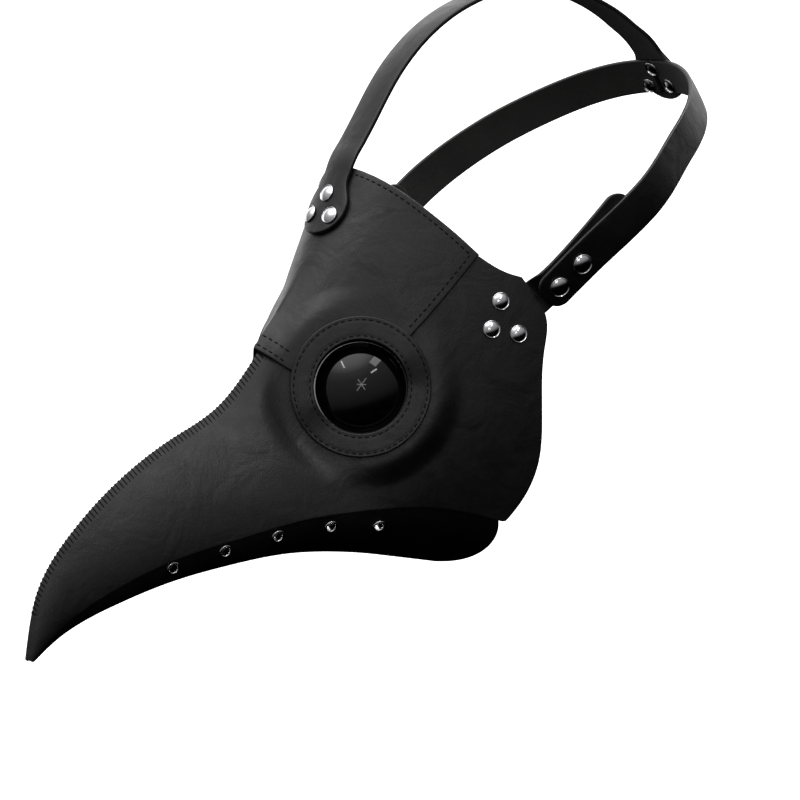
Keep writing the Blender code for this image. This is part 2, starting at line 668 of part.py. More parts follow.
def head_strap_faces():
    """Outer and inner grids of the head strap."""
    line = np.array([(0.0, y, z) for y, z in HEAD_STRAP_LINE])
    length = along(line, [0.0])[2]
    rows = arc_rows(length, SPADE_WIDTH / 2, SPADE_WIDTH / 2, 9.0)
    place, ahead, _ = along(line, rows)
    out = unit(np.cross([1.0, 0.0, 0.0], ahead))
    neck = smooth((rows - SPADE_LENGTH * 0.6) / (SPADE_LENGTH * 0.5))
    neck *= smooth((length - rows - SPADE_LENGTH * 0.6) / (SPADE_LENGTH * 0.5))
    width = SPADE_WIDTH + (STRAP_WIDTH - SPADE_WIDTH) * neck
    half = round_width(rows, length, width, SPADE_WIDTH / 2, SPADE_WIDTH / 2)
    x = half[:, None] * ACROSS[None]
    middle = place[:, None] + x[..., None] * np.array([1.0, 0.0, 0.0])
    arched = middle - out[:, None] * (x * x / (2 * HEAD_STRAP_ARCH))[..., None]
    free = smooth((rows - ON_PANEL_LENGTH) / 16.0)[:, None, None]
    behind = smooth((length - rows - ON_BACK_LENGTH) / 16.0)[:, None, None]
    over_back = STRAP_LOW + LEATHER + GAP
    faces = []
    for layer_height, rise in ((SPADE_LAYER[1], LEATHER), (SPADE_LAYER[0], 0.0)):
        on_panel = on_skin(arched, layer_height)
        on_back = on_head(arched, over_back + rise)
        hanging = arched + out[:, None] * rise
        faces.append((1 - free) * on_panel + (1 - behind) * on_back + (free + behind - 1) * hanging)
    return faces


def strip_on_head(place, ahead, half, height):
    """Rows of points across a strip on the head, at a height for each row."""
    out = unit(place / HEAD ** 2)
    aside = unit(np.cross(ahead, out))
    flat = place[:, None] + half[:, None, None] * ACROSS[None, :, None] * aside[:, None]
    return on_head(flat, np.broadcast_to(height[:, None, None], flat.shape[:2] + (1,)))


def side_strap_height(place):
    """Height of the side strap over the head: it steps down where the tab under it ends."""
    lower = smooth((place[:, 1] - OVER_TAB_Y[0]) / (OVER_TAB_Y[1] - OVER_TAB_Y[0]))
    lifted = 1.0 - smooth((place[:, 1] - STRAP_LIFT_Y[0]) / (STRAP_LIFT_Y[1] - STRAP_LIFT_Y[0]))
    return STRAP_OVER_TAB + (STRAP_LOW - STRAP_OVER_TAB) * lower + 0.6 * lifted


def side_strap_faces():
    """Grids of the left side strap, and the distance of its flex line from its front end."""
    probe = np.linspace(0, along(SIDE_STRAP_LINE, [0.0])[2], 800)
    flex = probe[np.argmax((along(SIDE_STRAP_LINE, probe)[0][:, 0] < FLEX_X) & (probe > 60))]
    rows = arc_rows(flex, 7.0, 0.0, 9.0)[:-5]
    place, ahead, _ = along(SIDE_STRAP_LINE, rows)
    half = round_width(rows, flex, STRAP_WIDTH, 7.0, 0.0)
    half = np.maximum(half, 3.0)
    height = side_strap_height(place)
    faces = [strip_on_head(place, ahead, half, height + rise) for rise in (LEATHER, 0.0)]
    return faces, flex


def back_strap_faces(flex):
    """Grids of the middle of the back strap, from one flex line round to the other."""
    length = along(SIDE_STRAP_LINE, [0.0])[2]
    rows = np.linspace(flex + GAP, length, 5)
    place, ahead, _ = along(SIDE_STRAP_LINE, rows)
    place[-1, 0] = 0.0
    ahead[-1] = (-1.0, 0.0, 0.0)
    half = np.full(len(rows), STRAP_WIDTH / 2)
    faces = []
    for rise in (LEATHER, 0.0):
        left = strip_on_head(place, ahead, half, side_strap_height(place) + rise)
        faces.append(np.concatenate([left, mirror(left)[-2::-1]]))
    return faces


def tab_faces(start, stop, root):
    """Grids of the tab between two distances along its line."""
    radius = TAB_ROOT_WIDTH / 2 if root else 0.0
    if root:
        rows = np.concatenate([arc_rows(stop, radius, 0.0, 6.0)[:-5]])
    else:
        rows = start + arc_rows(stop - start, 0.0, STRAP_WIDTH / 2, 4.5)[5:]
    place, ahead, _ = along(TAB_LINE, rows)
    width = TAB_ROOT_WIDTH + (STRAP_WIDTH - TAB_ROOT_WIDTH) * smooth((rows - 16.0) / 16.0)
    half = round_width(rows, stop, width, radius, 0.0 if root else STRAP_WIDTH / 2)
    out = unit(place / HEAD ** 2)
    aside = unit(np.cross(ahead, out))
    flat = place[:, None] + half[:, None, None] * ACROSS[None, :, None] * aside[:, None]
    free = smooth((place[:, 1] - TAB_LEAVES[0]) / (TAB_LEAVES[1] - TAB_LEAVES[0]))[:, None, None]
    faces = []
    for layer_height, rise in ((TAB_LAYER[1], LEATHER), (TAB_LAYER[0], 0.0)):
        lying = on_skin(flat, layer_height)
        head = on_head(flat, TAB_ON_HEAD + rise)
        faces.append((1 - free) * lying + free * head)
    return faces


def tab_flex_distance():
    """Distance along the tab's line at which it flexes, by the cheek's rear edge."""
    probe = np.linspace(0, along(TAB_LINE, [0.0])[2], 800)
    return probe[np.argmax(along(TAB_LINE, probe)[0][:, 1] > TAB_FLEX_Y)]


def snap_places():
    """Places on the head and outward normals of the two snaps on the left side."""
    distances = np.array([SNAP_FROM_END, SNAP_FROM_END + SNAP_PITCH])
    place, _, _ = along(SIDE_STRAP_LINE, distances)
    foot = on_head(place, 0.0)
    return foot, unit(foot / HEAD ** 2)


def add_head_strap():
    strap = add_mesh("head_strap", *slab(*head_strap_faces()), leather_material())
    front = [spot(p) for p in FOREHEAD_RIVETS]
    rear = [rear_spot(x, z) for x, z in REAR_RIVETS]
    punch(strap, [s[0] for s in front + rear], [s[1] for s in front + rear], [RIVET_HOLE] * 6)


def rear_spot(x, z):
    """A place on the back of the head, with its normal."""
    y = HEAD[1] * math.sqrt(1 - (x / HEAD[0]) ** 2 - (z / HEAD[2]) ** 2)
    place = np.array([x, y, z])
    return place, unit(place / HEAD ** 2)


def add_straps():
    faces, flex = side_strap_faces()
    foot, out = snap_places()
    end_place, end_ahead, _ = along(SIDE_STRAP_LINE, [flex])
    end_out = unit(end_place / HEAD ** 2)
    pivot = on_head(end_place, 0.0)[0] + end_out[0] * (STRAP_LOW + LEATHER)
    swing = unit(np.cross(end_ahead, end_out))[0]
    print("side strap flex pivot", np.round(pivot, 2), "axis", np.round(swing, 4))
    for side, flip in (("left", 1.0), ("right", -1.0)):
        turn = np.array([flip, 1.0, 1.0])
        strap = add_mesh(side + "_side_strap", *slab(faces[0] * turn, faces[1] * turn),
                         leather_material(), pivot * turn)
        punch(strap, list(foot * turn), list(out * turn), [SNAP_HOLE] * 2, 12.0)
        for number in range(2):
            add_snap(side, number, foot[number] * turn, out[number] * turn, pivot * turn)
    middle = add_mesh("back_strap_middle", *slab(*back_strap_faces(flex)), leather_material())
    rear = [rear_spot(x, z) for x, z in REAR_RIVETS]
    punch(middle, [s[0] for s in rear], [s[1] for s in rear], [RIVET_HOLE] * 3)
    for number, (place, normal) in enumerate(rear, 1):
        add_turned(f"back_rivet_{number}",
                   rivet_profile(STRAP_LOW, STRAP_LOW + 2 * LEATHER + 3 * GAP),
                   place, normal, metal_material(), 14)


def add_snap(side, number, foot, out, pivot):
    """A snap: the cap with its socket on the side strap, and the stud on the tab."""
    top = STRAP_OVER_TAB + LEATHER + GAP
    tab_top = TAB_ON_HEAD + LEATHER
    rim = tab_top + 1.2
    cap = [(SNAP_SOCKET, top), (SNAP_CAP, top), (SNAP_CAP, top + 0.4), (SNAP_CAP * 0.7, top + 1.4),
           (0, top + 1.9), (0, top + 0.5), (SNAP_SOCKET_BORE, top + 0.5), (SNAP_SOCKET_BORE, rim),
           (SNAP_SOCKET, rim)]
    add_turned(f"{side}_snap_cap_{number + 1}", cap, foot, out, metal_material(), 16, pivot)
    low = TAB_ON_HEAD - 2 * GAP
    stud = [(0, low - 0.7), (3.0, low - 0.7), (3.0, low), (1.2, low), (1.2, tab_top + 2 * GAP),
            (STUD_RADIUS, tab_top + 2 * GAP), (STUD_RADIUS, tab_top + STUD_RISE), (0, tab_top + STUD_RISE + 0.2)]
    add_turned(f"{side}_snap_stud_{number + 1}", stud, foot, out, metal_material(), 12)


def add_tabs():
    flex = tab_flex_distance()
    length = along(TAB_LINE, [0.0])[2]
    root = tab_faces(0.0, flex - GAP / 2, True)
    tail = tab_faces(flex + GAP / 2, length, False)
    middle = len(ACROSS) // 2
    pivot = tail[1][0, middle]
    hinge = unit(tail[1][0, -1] - tail[1][0, 0])
    print("tab flex pivot", np.round(pivot, 2), "axis", np.round(hinge, 4))
    foot, out = snap_places()
    for side, flip in (("left", 1.0), ("right", -1.0)):
        turn = np.array([flip, 1.0, 1.0])
        fixed = add_mesh(side + "_tab_root", *slab(root[0] * turn, root[1] * turn), leather_material())
        spots = [spot(np.array(p) * turn) for p in CHEEK_RIVETS]
        punch(fixed, [s[0] for s in spots], [s[1] for s in spots], [RIVET_HOLE] * 3)
        moving = add_mesh(side + "_tab_tail", *slab(tail[0] * turn, tail[1] * turn),
                          leather_material(), pivot * turn)
        punch(moving, list(foot * turn), list(out * turn), [1.6] * 2, 8.0)


# ---------------------------------------------------------------- the whole mask
for old in list(bpy.data.objects):
    bpy.data.objects.remove(old, do_unlink=True)

for hand in ("left", "right"):
    add_side_panel(hand)
    add_eye(hand)
add_forehead_panel()
add_under_panel()
add_eyelets()
add_shell_rivets()
add_head_strap()
add_straps()
add_tabs()
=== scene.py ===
# %% [markdown]
# # A plague doctor mask in black leather
# The mask is cut from four panels of 2 mm leather, stitched, riveted and eyeleted together, with
# a strap over the head and another round its back.  The solid frame comes from the part's own
# CAD; this lesson dresses it.  Lengths are worked out in millimetres and made metres at the end.

# %% Load the frame
import math

import bmesh
import bpy
import numpy as np
from mathutils import Matrix


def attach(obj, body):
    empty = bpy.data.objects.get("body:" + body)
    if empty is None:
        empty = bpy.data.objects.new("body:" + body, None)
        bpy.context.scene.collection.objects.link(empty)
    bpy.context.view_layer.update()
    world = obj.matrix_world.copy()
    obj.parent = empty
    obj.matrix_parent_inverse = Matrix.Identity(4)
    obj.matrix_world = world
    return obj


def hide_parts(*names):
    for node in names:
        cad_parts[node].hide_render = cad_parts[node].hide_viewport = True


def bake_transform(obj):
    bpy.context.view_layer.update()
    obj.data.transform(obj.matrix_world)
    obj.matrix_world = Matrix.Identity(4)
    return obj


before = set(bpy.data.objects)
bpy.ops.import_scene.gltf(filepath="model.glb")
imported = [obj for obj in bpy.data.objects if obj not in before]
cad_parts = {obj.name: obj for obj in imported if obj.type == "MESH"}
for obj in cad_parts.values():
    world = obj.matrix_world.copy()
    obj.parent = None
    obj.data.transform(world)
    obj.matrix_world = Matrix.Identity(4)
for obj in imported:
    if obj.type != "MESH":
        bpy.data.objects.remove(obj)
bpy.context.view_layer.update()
MM = 0.001

# %% [markdown]
# ## Small tools for curves
# A smooth curve through a few given points is all that leather work needs.  The natural cubic
# spline is the curve that a thin springy batten takes through those points, so it is used for
# the outlines, for the strap lines and for the sections of the whole mask.


# %% Curves
def smooth(x):
    """Smooth step: 0 below 0, 1 above 1, and 3x2 - 2x3 between."""
    x = np.clip(x, 0.0, 1.0)
    return x * x * (3.0 - 2.0 * x)


def unit(v):
    """Each vector divided by its length."""
    return v / np.maximum(np.linalg.norm(v, axis=-1, keepdims=True), 1e-12)


def bends(knots, values):
    """Second derivatives that make a cubic spline smooth: neighbouring slopes are set equal."""
    n = len(knots)
    h = np.diff(knots)
    matrix = np.eye(n)
    inside = np.arange(1, n - 1)
    matrix[inside, inside - 1] = h[:-1]
    matrix[inside, inside] = 2 * (h[:-1] + h[1:])
    matrix[inside, inside + 1] = h[1:]
    slopes = np.diff(values, axis=0) / h.reshape((-1,) + (1,) * (values.ndim - 1))
    right = np.zeros(values.shape)
    right[1:-1] = 6 * np.diff(slopes, axis=0)
    return np.linalg.solve(matrix, right.reshape(n, -1)).reshape(values.shape)


def spline(knots, values, second, t):
    """Cubic between two knots: a*v0 + b*v1 + ((a3 - a)*m0 + (b3 - b)*m1)*h2/6, with a = 1 - b."""
    i = np.clip(np.searchsorted(knots, t) - 1, 0, len(knots) - 2)
    h = knots[i + 1] - knots[i]
    shape = t.shape + (1,) * (values.ndim - 1)
    b = ((t - knots[i]) / h).reshape(shape)
    a = 1.0 - b
    h = h.reshape(shape)
    cubic = (a ** 3 - a) * second[i] + (b ** 3 - b) * second[i + 1]
    return a * values[i] + b * values[i + 1] + cubic * h * h / 6.0


def curve(points, count):
    """count + 1 points on the spline through points, spaced evenly by chord length."""
    points = np.array(points, float)
    knots = np.concatenate([[0.0], np.cumsum(np.linalg.norm(np.diff(points, axis=0), axis=1))])
    return spline(knots, points, bends(knots, points), np.linspace(0, knots[-1], count + 1))


def straight(start, end, count):
    """count + 1 points on the straight line between two points."""
    return np.linspace(np.array(start, float), np.array(end, float), count + 1)


FLIPS = {"left": np.array([1.0, 1.0, 1.0]), "right": np.array([-1.0, 1.0, 1.0])}


def mirror(points):
    """The same points on the other side of the middle plane: x becomes -x."""
    return points * FLIPS["right"]


# %% [markdown]
# ## The skin of the mask
# All the panels lie on one smooth surface.  It could be sculpted, but a formula lets every
# panel, stitch and rivet find its place exactly.  Nine cross-sections stand along the mask from
# the face opening to the tip; each is a Bezier curve down the side and a second one under the
# beak, and their control points run along splines.  A point is named by its reach along the
# mask and its drop: 0 on the crest, 1 on the lower seam, 2 on the keel below.

# %% Sections and driving sizes
SECTIONS = (
    (0, (0, -80, 58), (53, -80, 58), (94, 6, -66), (60, -90, -125),
     (58, -91, -137), (34, -88, -150), (0, -88, -151)),
    (70, (0, -125, 14.5), (28, -125, 14.5), (58, -110, -58), (46, -128, -98.5),
     (45, -128, -112), (28, -127, -126), (0, -127, -129)),
    (118, (0, -165, -12), (14, -164, -26), (27, -164, -58), (35, -160, -87),
     (35, -160, -99), (22, -160, -110), (0, -160, -112)),
    (142, (0, -190, -24.5), (11, -190, -37), (24, -189, -58), (29.5, -183.5, -81),
     (29.5, -183.5, -91.5), (18, -183.5, -101), (0, -184, -102.5)),
    (170, (0, -218, -28.5), (9, -217.5, -39), (20, -217, -58), (23.5, -212.5, -77),
     (23.5, -212.5, -86), (15, -213, -93), (0, -213, -95)),
    (202, (0, -250, -34), (7, -249, -43), (15.5, -248, -58), (17, -246, -73.5),
     (17, -246, -81), (11, -245, -87.5), (0, -245, -89)),
    (235, (0, -282, -45.5), (4.7, -281, -52), (10, -280, -64), (10.5, -279, -75),
     (10.5, -279, -80.5), (6.5, -278.5, -85.5), (0, -278, -86.5)),
    (262, (0, -307, -62), (3.4, -306, -66), (6.5, -304.5, -74), (6, -303, -80),
     (6, -303, -83), (3.6, -303, -86), (0, -303, -87)),
    (287, (0, -323, -87), (1.6, -322.5, -87.5), (2.2, -321.5, -88.2), (2.2, -321, -89),
     (2.2, -321, -90), (1.4, -320.5, -90.6), (0, -320.5, -91)),
)
TIP_REACH = 287.0
LEATHER = 2.0
HEAD = np.array([77.0, 98.0, 92.0])
REACHES = np.array([row[0] for row in SECTIONS], float)
CONTROL = np.array([row[1:] for row in SECTIONS], float)
CONTROL_BENDS = bends(REACHES, CONTROL)
print("sections", len(SECTIONS), "from reach 0 to", TIP_REACH, "mm")


# %% Skin before the eye is pressed flat
def bezier(net, t):
    """(1-t)3 p0 + 3t(1-t)2 p1 + 3t2(1-t) p2 + t3 p3."""
    return ((1 - t) ** 3 * net[..., 0, :] + 3 * t * (1 - t) ** 2 * net[..., 1, :]
            + 3 * t * t * (1 - t) * net[..., 2, :] + t ** 3 * net[..., 3, :])


def raw_skin(reach, drop):
    """Side curve where drop is under 1, underside curve past it, on the section at reach."""
    net = spline(REACHES, CONTROL, CONTROL_BENDS, reach)
    under = drop > 1.0
    side_or_under = np.where(under[..., None, None], net[..., 3:7, :], net[..., 0:4, :])
    return bezier(side_or_under, np.where(under, drop - 1.0, drop)[..., None])


def nearest(points, surface):
    """(reach, drop) closest to each point: the best of a coarse net, then Gauss-Newton steps."""
    points = np.atleast_2d(np.array(points, float))
    grid_r, grid_d = np.meshgrid(np.linspace(0, TIP_REACH, 72), np.linspace(0, 2, 61), indexing="ij")
    samples = surface(grid_r.ravel(), grid_d.ravel())
    pick = np.argmin(((points[:, None] - samples[None]) ** 2).sum(-1), axis=1)
    r = grid_r.ravel()[pick]
    d = grid_d.ravel()[pick]
    for _ in range(12):
        here = surface(r, d)
        along = (surface(r + 0.05, d) - here) / 0.05
        down = (surface(r, d + 0.0005) - here) / 0.0005
        miss = points - here
        aa, dd, ad = (along * along).sum(-1), (down * down).sum(-1), (along * down).sum(-1)
        ma, md = (miss * along).sum(-1), (miss * down).sum(-1)
        det = aa * dd - ad * ad + 1e-9
        r = np.clip(r + (ma * dd - md * ad) / det, 0, TIP_REACH)
        d = np.clip(d + (md * aa - ma * ad) / det, 0, 2)
    return np.stack([r, d], -1)


# %% [markdown]
# The leather is pressed flat where the eye ring is sewn on.  Near the eye each point slides
# along the eye's own axis onto one plane; the slide fades out beyond the ring, and towards the
# nose, so the rest of the skin keeps its shape.

# %% The flat at the eye
EYE_CENTRE = (31.0, -138.0, -37.0)
EYE_AHEAD = 33.0
EYE_RISE = 20.0
EYE_FLAT = 33.5
EYE_FADE = 45.0
EYE_CLEAR = 10.0
EYE_NORMAL = np.array([
    math.cos(math.radians(EYE_RISE)) * math.cos(math.radians(EYE_AHEAD)),
    -math.cos(math.radians(EYE_RISE)) * math.sin(math.radians(EYE_AHEAD)),
    math.sin(math.radians(EYE_RISE))])
EYE_UV = nearest(EYE_CENTRE, raw_skin)[0]
EYE = raw_skin(EYE_UV[:1], EYE_UV[1:])[0]


def skin(reach, drop):
    """The raw skin, with its height over the eye's plane taken away near the eye."""
    p = raw_skin(reach, drop)
    lift = ((p - EYE) @ EYE_NORMAL)[..., None]
    radius = np.linalg.norm(p - lift * EYE_NORMAL - EYE, axis=-1)
    weight = (1.0 - smooth((radius - EYE_FLAT) / (EYE_FADE - EYE_FLAT))) * smooth(p[..., 0] / EYE_CLEAR)
    return p - weight[..., None] * lift * EYE_NORMAL


def skin_normal(reach, drop):
    """Unit cross product of the steps along and down."""
    step_r = np.where(reach > TIP_REACH - 1, -0.2, 0.2)
    step_d = np.where(drop > 1.99, -0.002, 0.002)
    here = skin(reach, drop)
    along = (skin(reach + step_r, drop) - here) / step_r[..., None]
    down = (skin(reach, drop + step_d) - here) / step_d[..., None]
    return unit(np.cross(along, down))


def thin(reach):
    """Share of the full thickness: 1, skived down to a third at the tip of the beak."""
    return 1.0 - 0.65 * smooth((reach - 235.0) / (TIP_REACH - 235.0))


def raised(uv, height):
    """Skin points moved out by a height; on the middle plane they move within that plane.

    Other points keep 0.02 mm clear of the plane, so that a half never welds to its mirror image there.
    """
    reach, drop = uv[..., 0], uv[..., 1]
    normal = skin_normal(reach, drop)
    middle = normal * np.array([0.0, 1.0, 1.0])
    mitre = middle / np.maximum((middle ** 2).sum(-1, keepdims=True), 0.2)
    on_middle = ((drop < 1e-6) | (drop > 2 - 1e-6))[..., None]
    points = skin(reach, drop) + np.where(on_middle, mitre, normal) * (height * thin(reach))[..., None]
    points[..., 0] = np.where(on_middle[..., 0], 0.0, np.maximum(points[..., 0], 0.02))
    return points


print("eye centre", np.round(EYE, 1), "facing", np.round(EYE_NORMAL, 2))

# %% [markdown]
# ## From grids to meshes
# Every piece here is one or more grids of points.  numpy makes the points and the faces as
# whole arrays, and foreach_set pours them into the mesh, which is far quicker than adding
# vertices one at a time.


# %% Mesh makers
def quads(rows, cols, wrap=False):
    """Corner indices of the faces of a rows x cols grid; wrap joins its last column to its first."""
    index = np.arange(rows * cols).reshape(rows, cols)
    if wrap:
        index = np.concatenate([index, index[:, :1]], axis=1)
    return np.stack([index[:-1, :-1], index[1:, :-1], index[1:, 1:], index[:-1, 1:]], -1).reshape(-1, 4)


def put_mesh(name, points, faces, finishes, finish_of=None, merge=2e-6):
    """A closed smooth mesh from millimetre points and faces, all facing outwards."""
    mesh = bpy.data.meshes.new(name)
    mesh.vertices.add(len(points))
    mesh.vertices.foreach_set("co", (np.asarray(points, np.float32) * MM).ravel())
    size = faces.shape[1]
    mesh.loops.add(len(faces) * size)
    mesh.loops.foreach_set("vertex_index", faces.astype(np.int32).ravel())
    mesh.polygons.add(len(faces))
    mesh.polygons.foreach_set("loop_start", np.arange(0, len(faces) * size, size, dtype=np.int32))
    if finish_of is not None:
        mesh.polygons.foreach_set("material_index", finish_of.astype(np.int32))
    mesh.update(calc_edges=True)
    work = bmesh.new()
    work.from_mesh(mesh)
    bmesh.ops.remove_doubles(work, verts=work.verts, dist=merge)
    bmesh.ops.dissolve_degenerate(work, edges=work.edges, dist=merge)
    bmesh.ops.recalc_face_normals(work, faces=work.faces)
    if work.calc_volume(signed=True) < 0:
        bmesh.ops.reverse_faces(work, faces=work.faces)
    open_edges = sum(1 for edge in work.edges if not edge.is_manifold)
    work.to_mesh(mesh)
    work.free()
    mesh.shade_smooth()
    for finish in finishes:
        mesh.materials.append(finish)
    thing = bpy.data.objects.new(name, mesh)
    bpy.context.scene.collection.objects.link(thing)
    print(name, len(mesh.polygons), "faces", "OPEN " + str(open_edges) if open_edges else "closed")
    return thing


def turned(profile, centres, normals, sides):
    """Profiles turned about axes: radius and height of each ring, at each centre, as one mesh."""
    profile = np.array(profile, float)
    centres = np.atleast_2d(centres)
    normals = unit(np.atleast_2d(normals))
    first = unit(np.cross(np.array([0.0, 0.0, 1.0]), normals))
    second = np.cross(normals, first)
    angle = np.linspace(0, 2 * math.pi, sides, endpoint=False)
    spoke = (np.cos(angle)[None, :, None] * first[:, None] + np.sin(angle)[None, :, None] * second[:, None])
    points = (centres[:, None, None] + profile[None, :, None, :1] * spoke[:, None]
              + profile[None, :, None, 1:] * normals[:, None, None])
    on_axis = np.repeat(profile[:-1, 0] + profile[1:, 0] < 1e-9, sides)
    ring = quads(len(profile), sides, wrap=True)[~on_axis]
    step = len(profile) * sides
    faces = (np.arange(len(centres))[:, None, None] * step + ring[None]).reshape(-1, 4)
    return points.reshape(-1, 3), faces


def cut_holes(thing, centres, normals, radius, reach=8.0, sides=96):
    """Round holes through a piece: rods taken away by an exact Boolean, which is then applied."""
    rod = [(0.0, -reach), (radius, -reach), (radius, reach), (0.0, reach)]
    cutter = put_mesh(thing.name + "_cutter", *turned(rod, centres, normals, sides), [])
    cut = thing.modifiers.new("holes", "BOOLEAN")
    cut.solver = "EXACT"
    cut.object = cutter
    cut_mesh = bpy.data.meshes.new_from_object(thing.evaluated_get(bpy.context.evaluated_depsgraph_get()))
    thing.modifiers.clear()
    thing.data = cut_mesh
    bpy.data.objects.remove(cutter)
    cut_mesh.shade_smooth()
    cut_mesh.set_sharp_from_angle(angle=math.radians(50))

# %% [markdown]
# ## Leather, metal, lens and thread
# A material is a small tree of nodes.  Black leather is nearly black, so what the eye reads is
# its sheen: roughness that wanders a little, fine pores and creases in the bump, and a flesh
# side that is dull and fuzzy.  Patterns use Object coordinates, in metres, so the grain is the
# same size on every piece.


# %% Node helpers
def new_finish(name, colour, roughness, metallic=0.0):
    """A material with its Principled shader's plain values set, and its tree."""
    finish = bpy.data.materials.new(name)
    finish.use_nodes = True
    tree = finish.node_tree
    shader = tree.nodes["Principled BSDF"]
    shader.inputs["Base Color"].default_value = (*colour, 1.0)
    shader.inputs["Roughness"].default_value = roughness
    shader.inputs["Metallic"].default_value = metallic
    return finish, tree, shader


def pattern(tree, kind, scale, **settings):
    """A texture node on Object coordinates; scale counts features per metre."""
    place = tree.nodes.get("Texture Coordinate") or tree.nodes.new("ShaderNodeTexCoord")
    node = tree.nodes.new(kind)
    for key, value in settings.items():
        if key in node.inputs:
            node.inputs[key].default_value = value
        else:
            setattr(node, key, value)
    node.inputs["Scale"].default_value = scale
    tree.links.new(place.outputs["Object"], node.inputs["Vector"])
    return node


def spread(tree, source, low, high, out_low, out_high):
    """A Map Range node: low..high of the source becomes out_low..out_high."""
    node = tree.nodes.new("ShaderNodeMapRange")
    node.inputs["From Min"].default_value = low
    node.inputs["From Max"].default_value = high
    node.inputs["To Min"].default_value = out_low
    node.inputs["To Max"].default_value = out_high
    tree.links.new(source, node.inputs["Value"])
    return node.outputs["Result"]


def tint(tree, shader, source, dark, light):
    """Base colour that runs from dark to light as the source runs from 0 to 1."""
    node = tree.nodes.new("ShaderNodeMix")
    node.data_type = "RGBA"
    node.inputs["A"].default_value = (*dark, 1.0)
    node.inputs["B"].default_value = (*light, 1.0)
    tree.links.new(source, node.inputs["Factor"])
    tree.links.new(node.outputs["Result"], shader.inputs["Base Color"])


def bump(tree, shader, source, depth, strength=1.0, under=None):
    """Bump of the given depth in metres, laid over an earlier one if there is one."""
    node = tree.nodes.new("ShaderNodeBump")
    node.inputs["Strength"].default_value = strength
    node.inputs["Distance"].default_value = depth
    tree.links.new(source, node.inputs["Height"])
    if under is not None:
        tree.links.new(under.outputs["Normal"], node.inputs["Normal"])
    tree.links.new(node.outputs["Normal"], shader.inputs["Normal"])
    return node


# %% Black leather, grain side
def leather_finish(name, roughness, depth):
    """Pores from small Voronoi cells, creases and slow swells from noise, wandering sheen."""
    finish, tree, shader = new_finish(name, (0.005, 0.005, 0.0055), roughness)
    shader.inputs["Specular IOR Level"].default_value = 0.5
    cloud = pattern(tree, "ShaderNodeTexNoise", 38.0, Detail=5.0, Roughness=0.6)
    tint(tree, shader, spread(tree, cloud.outputs["Fac"], 0.35, 0.7, 0.0, 1.0),
         (0.0030, 0.0030, 0.0034), (0.0072, 0.0070, 0.0072))
    rub = pattern(tree, "ShaderNodeTexNoise", 95.0, Detail=6.0, Roughness=0.7, Distortion=0.6)
    tree.links.new(spread(tree, rub.outputs["Fac"], 0.3, 0.72, roughness - 0.05, roughness + 0.09),
                   shader.inputs["Roughness"])
    wave = pattern(tree, "ShaderNodeTexNoise", 52.0, Detail=3.0, Roughness=0.5, Distortion=0.8)
    swell = bump(tree, shader, wave.outputs["Fac"], 0.0011, 0.55)
    crease = pattern(tree, "ShaderNodeTexNoise", 260.0, Detail=7.0, Roughness=0.62, Distortion=1.2)
    first = bump(tree, shader, crease.outputs["Fac"], depth * 3.0, 0.55, swell)
    pores = pattern(tree, "ShaderNodeTexVoronoi", 1900.0, feature="SMOOTH_F1", Smoothness=0.6)
    bump(tree, shader, pores.outputs["Distance"], depth, 0.5, first)
    return finish


GRAIN_SIDE = leather_finish("black_leather_grain_side", 0.40, 0.00006)
STRAP_GRAIN = leather_finish("black_strap_leather", 0.34, 0.00005)


# %% Cut edge and flesh side
def edge_finish():
    """Burnished cut edge: smoother and a shade lighter, with faint fibre lines."""
    finish, tree, shader = new_finish("burnished_leather_edge", (0.014, 0.013, 0.013), 0.36)
    fibre = pattern(tree, "ShaderNodeTexNoise", 700.0, Detail=4.0, Roughness=0.7)
    tint(tree, shader, spread(tree, fibre.outputs["Fac"], 0.3, 0.7, 0.0, 1.0),
         (0.004, 0.004, 0.004), (0.012, 0.011, 0.0105))
    tree.links.new(spread(tree, fibre.outputs["Fac"], 0.3, 0.7, 0.30, 0.48), shader.inputs["Roughness"])
    bump(tree, shader, fibre.outputs["Fac"], 0.00012, 0.5)
    return finish


def flesh_finish():
    """Dull inner side: short fuzz in the bump, a charcoal nap in the colour, a little sheen."""
    finish, tree, shader = new_finish("leather_flesh_side", (0.02, 0.019, 0.018), 0.86)
    shader.inputs["Sheen Weight"].default_value = 0.12
    shader.inputs["Sheen Roughness"].default_value = 0.6
    nap = pattern(tree, "ShaderNodeTexNoise", 900.0, Detail=8.0, Roughness=0.8)
    patch = pattern(tree, "ShaderNodeTexNoise", 55.0, Detail=4.0, Roughness=0.6)
    tint(tree, shader, spread(tree, patch.outputs["Fac"], 0.3, 0.7, 0.0, 1.0),
         (0.009, 0.0085, 0.008), (0.022, 0.020, 0.019))
    bump(tree, shader, nap.outputs["Fac"], 0.0004, 0.7)
    return finish


CUT_EDGE = edge_finish()
FLESH_SIDE = flesh_finish()
LEATHER_SIDES = [GRAIN_SIDE, CUT_EDGE, FLESH_SIDE]
STRAP_SIDES = [STRAP_GRAIN, CUT_EDGE, FLESH_SIDE]


# %% Metal, lens, thread and plastic
def metal_finish():
    """Polished nickel: a mirror whose roughness is broken by hair scratches and handling."""
    finish, tree, shader = new_finish("polished_nickel", (0.82, 0.82, 0.84), 0.12, 1.0)
    smear = pattern(tree, "ShaderNodeTexNoise", 420.0, Detail=6.0, Roughness=0.7)
    tree.links.new(spread(tree, smear.outputs["Fac"], 0.35, 0.75, 0.07, 0.24), shader.inputs["Roughness"])
    tint(tree, shader, spread(tree, smear.outputs["Fac"], 0.3, 0.7, 0.0, 1.0),
         (0.74, 0.74, 0.76), (0.88, 0.88, 0.90))
    bump(tree, shader, smear.outputs["Fac"], 0.00003, 0.25)
    return finish


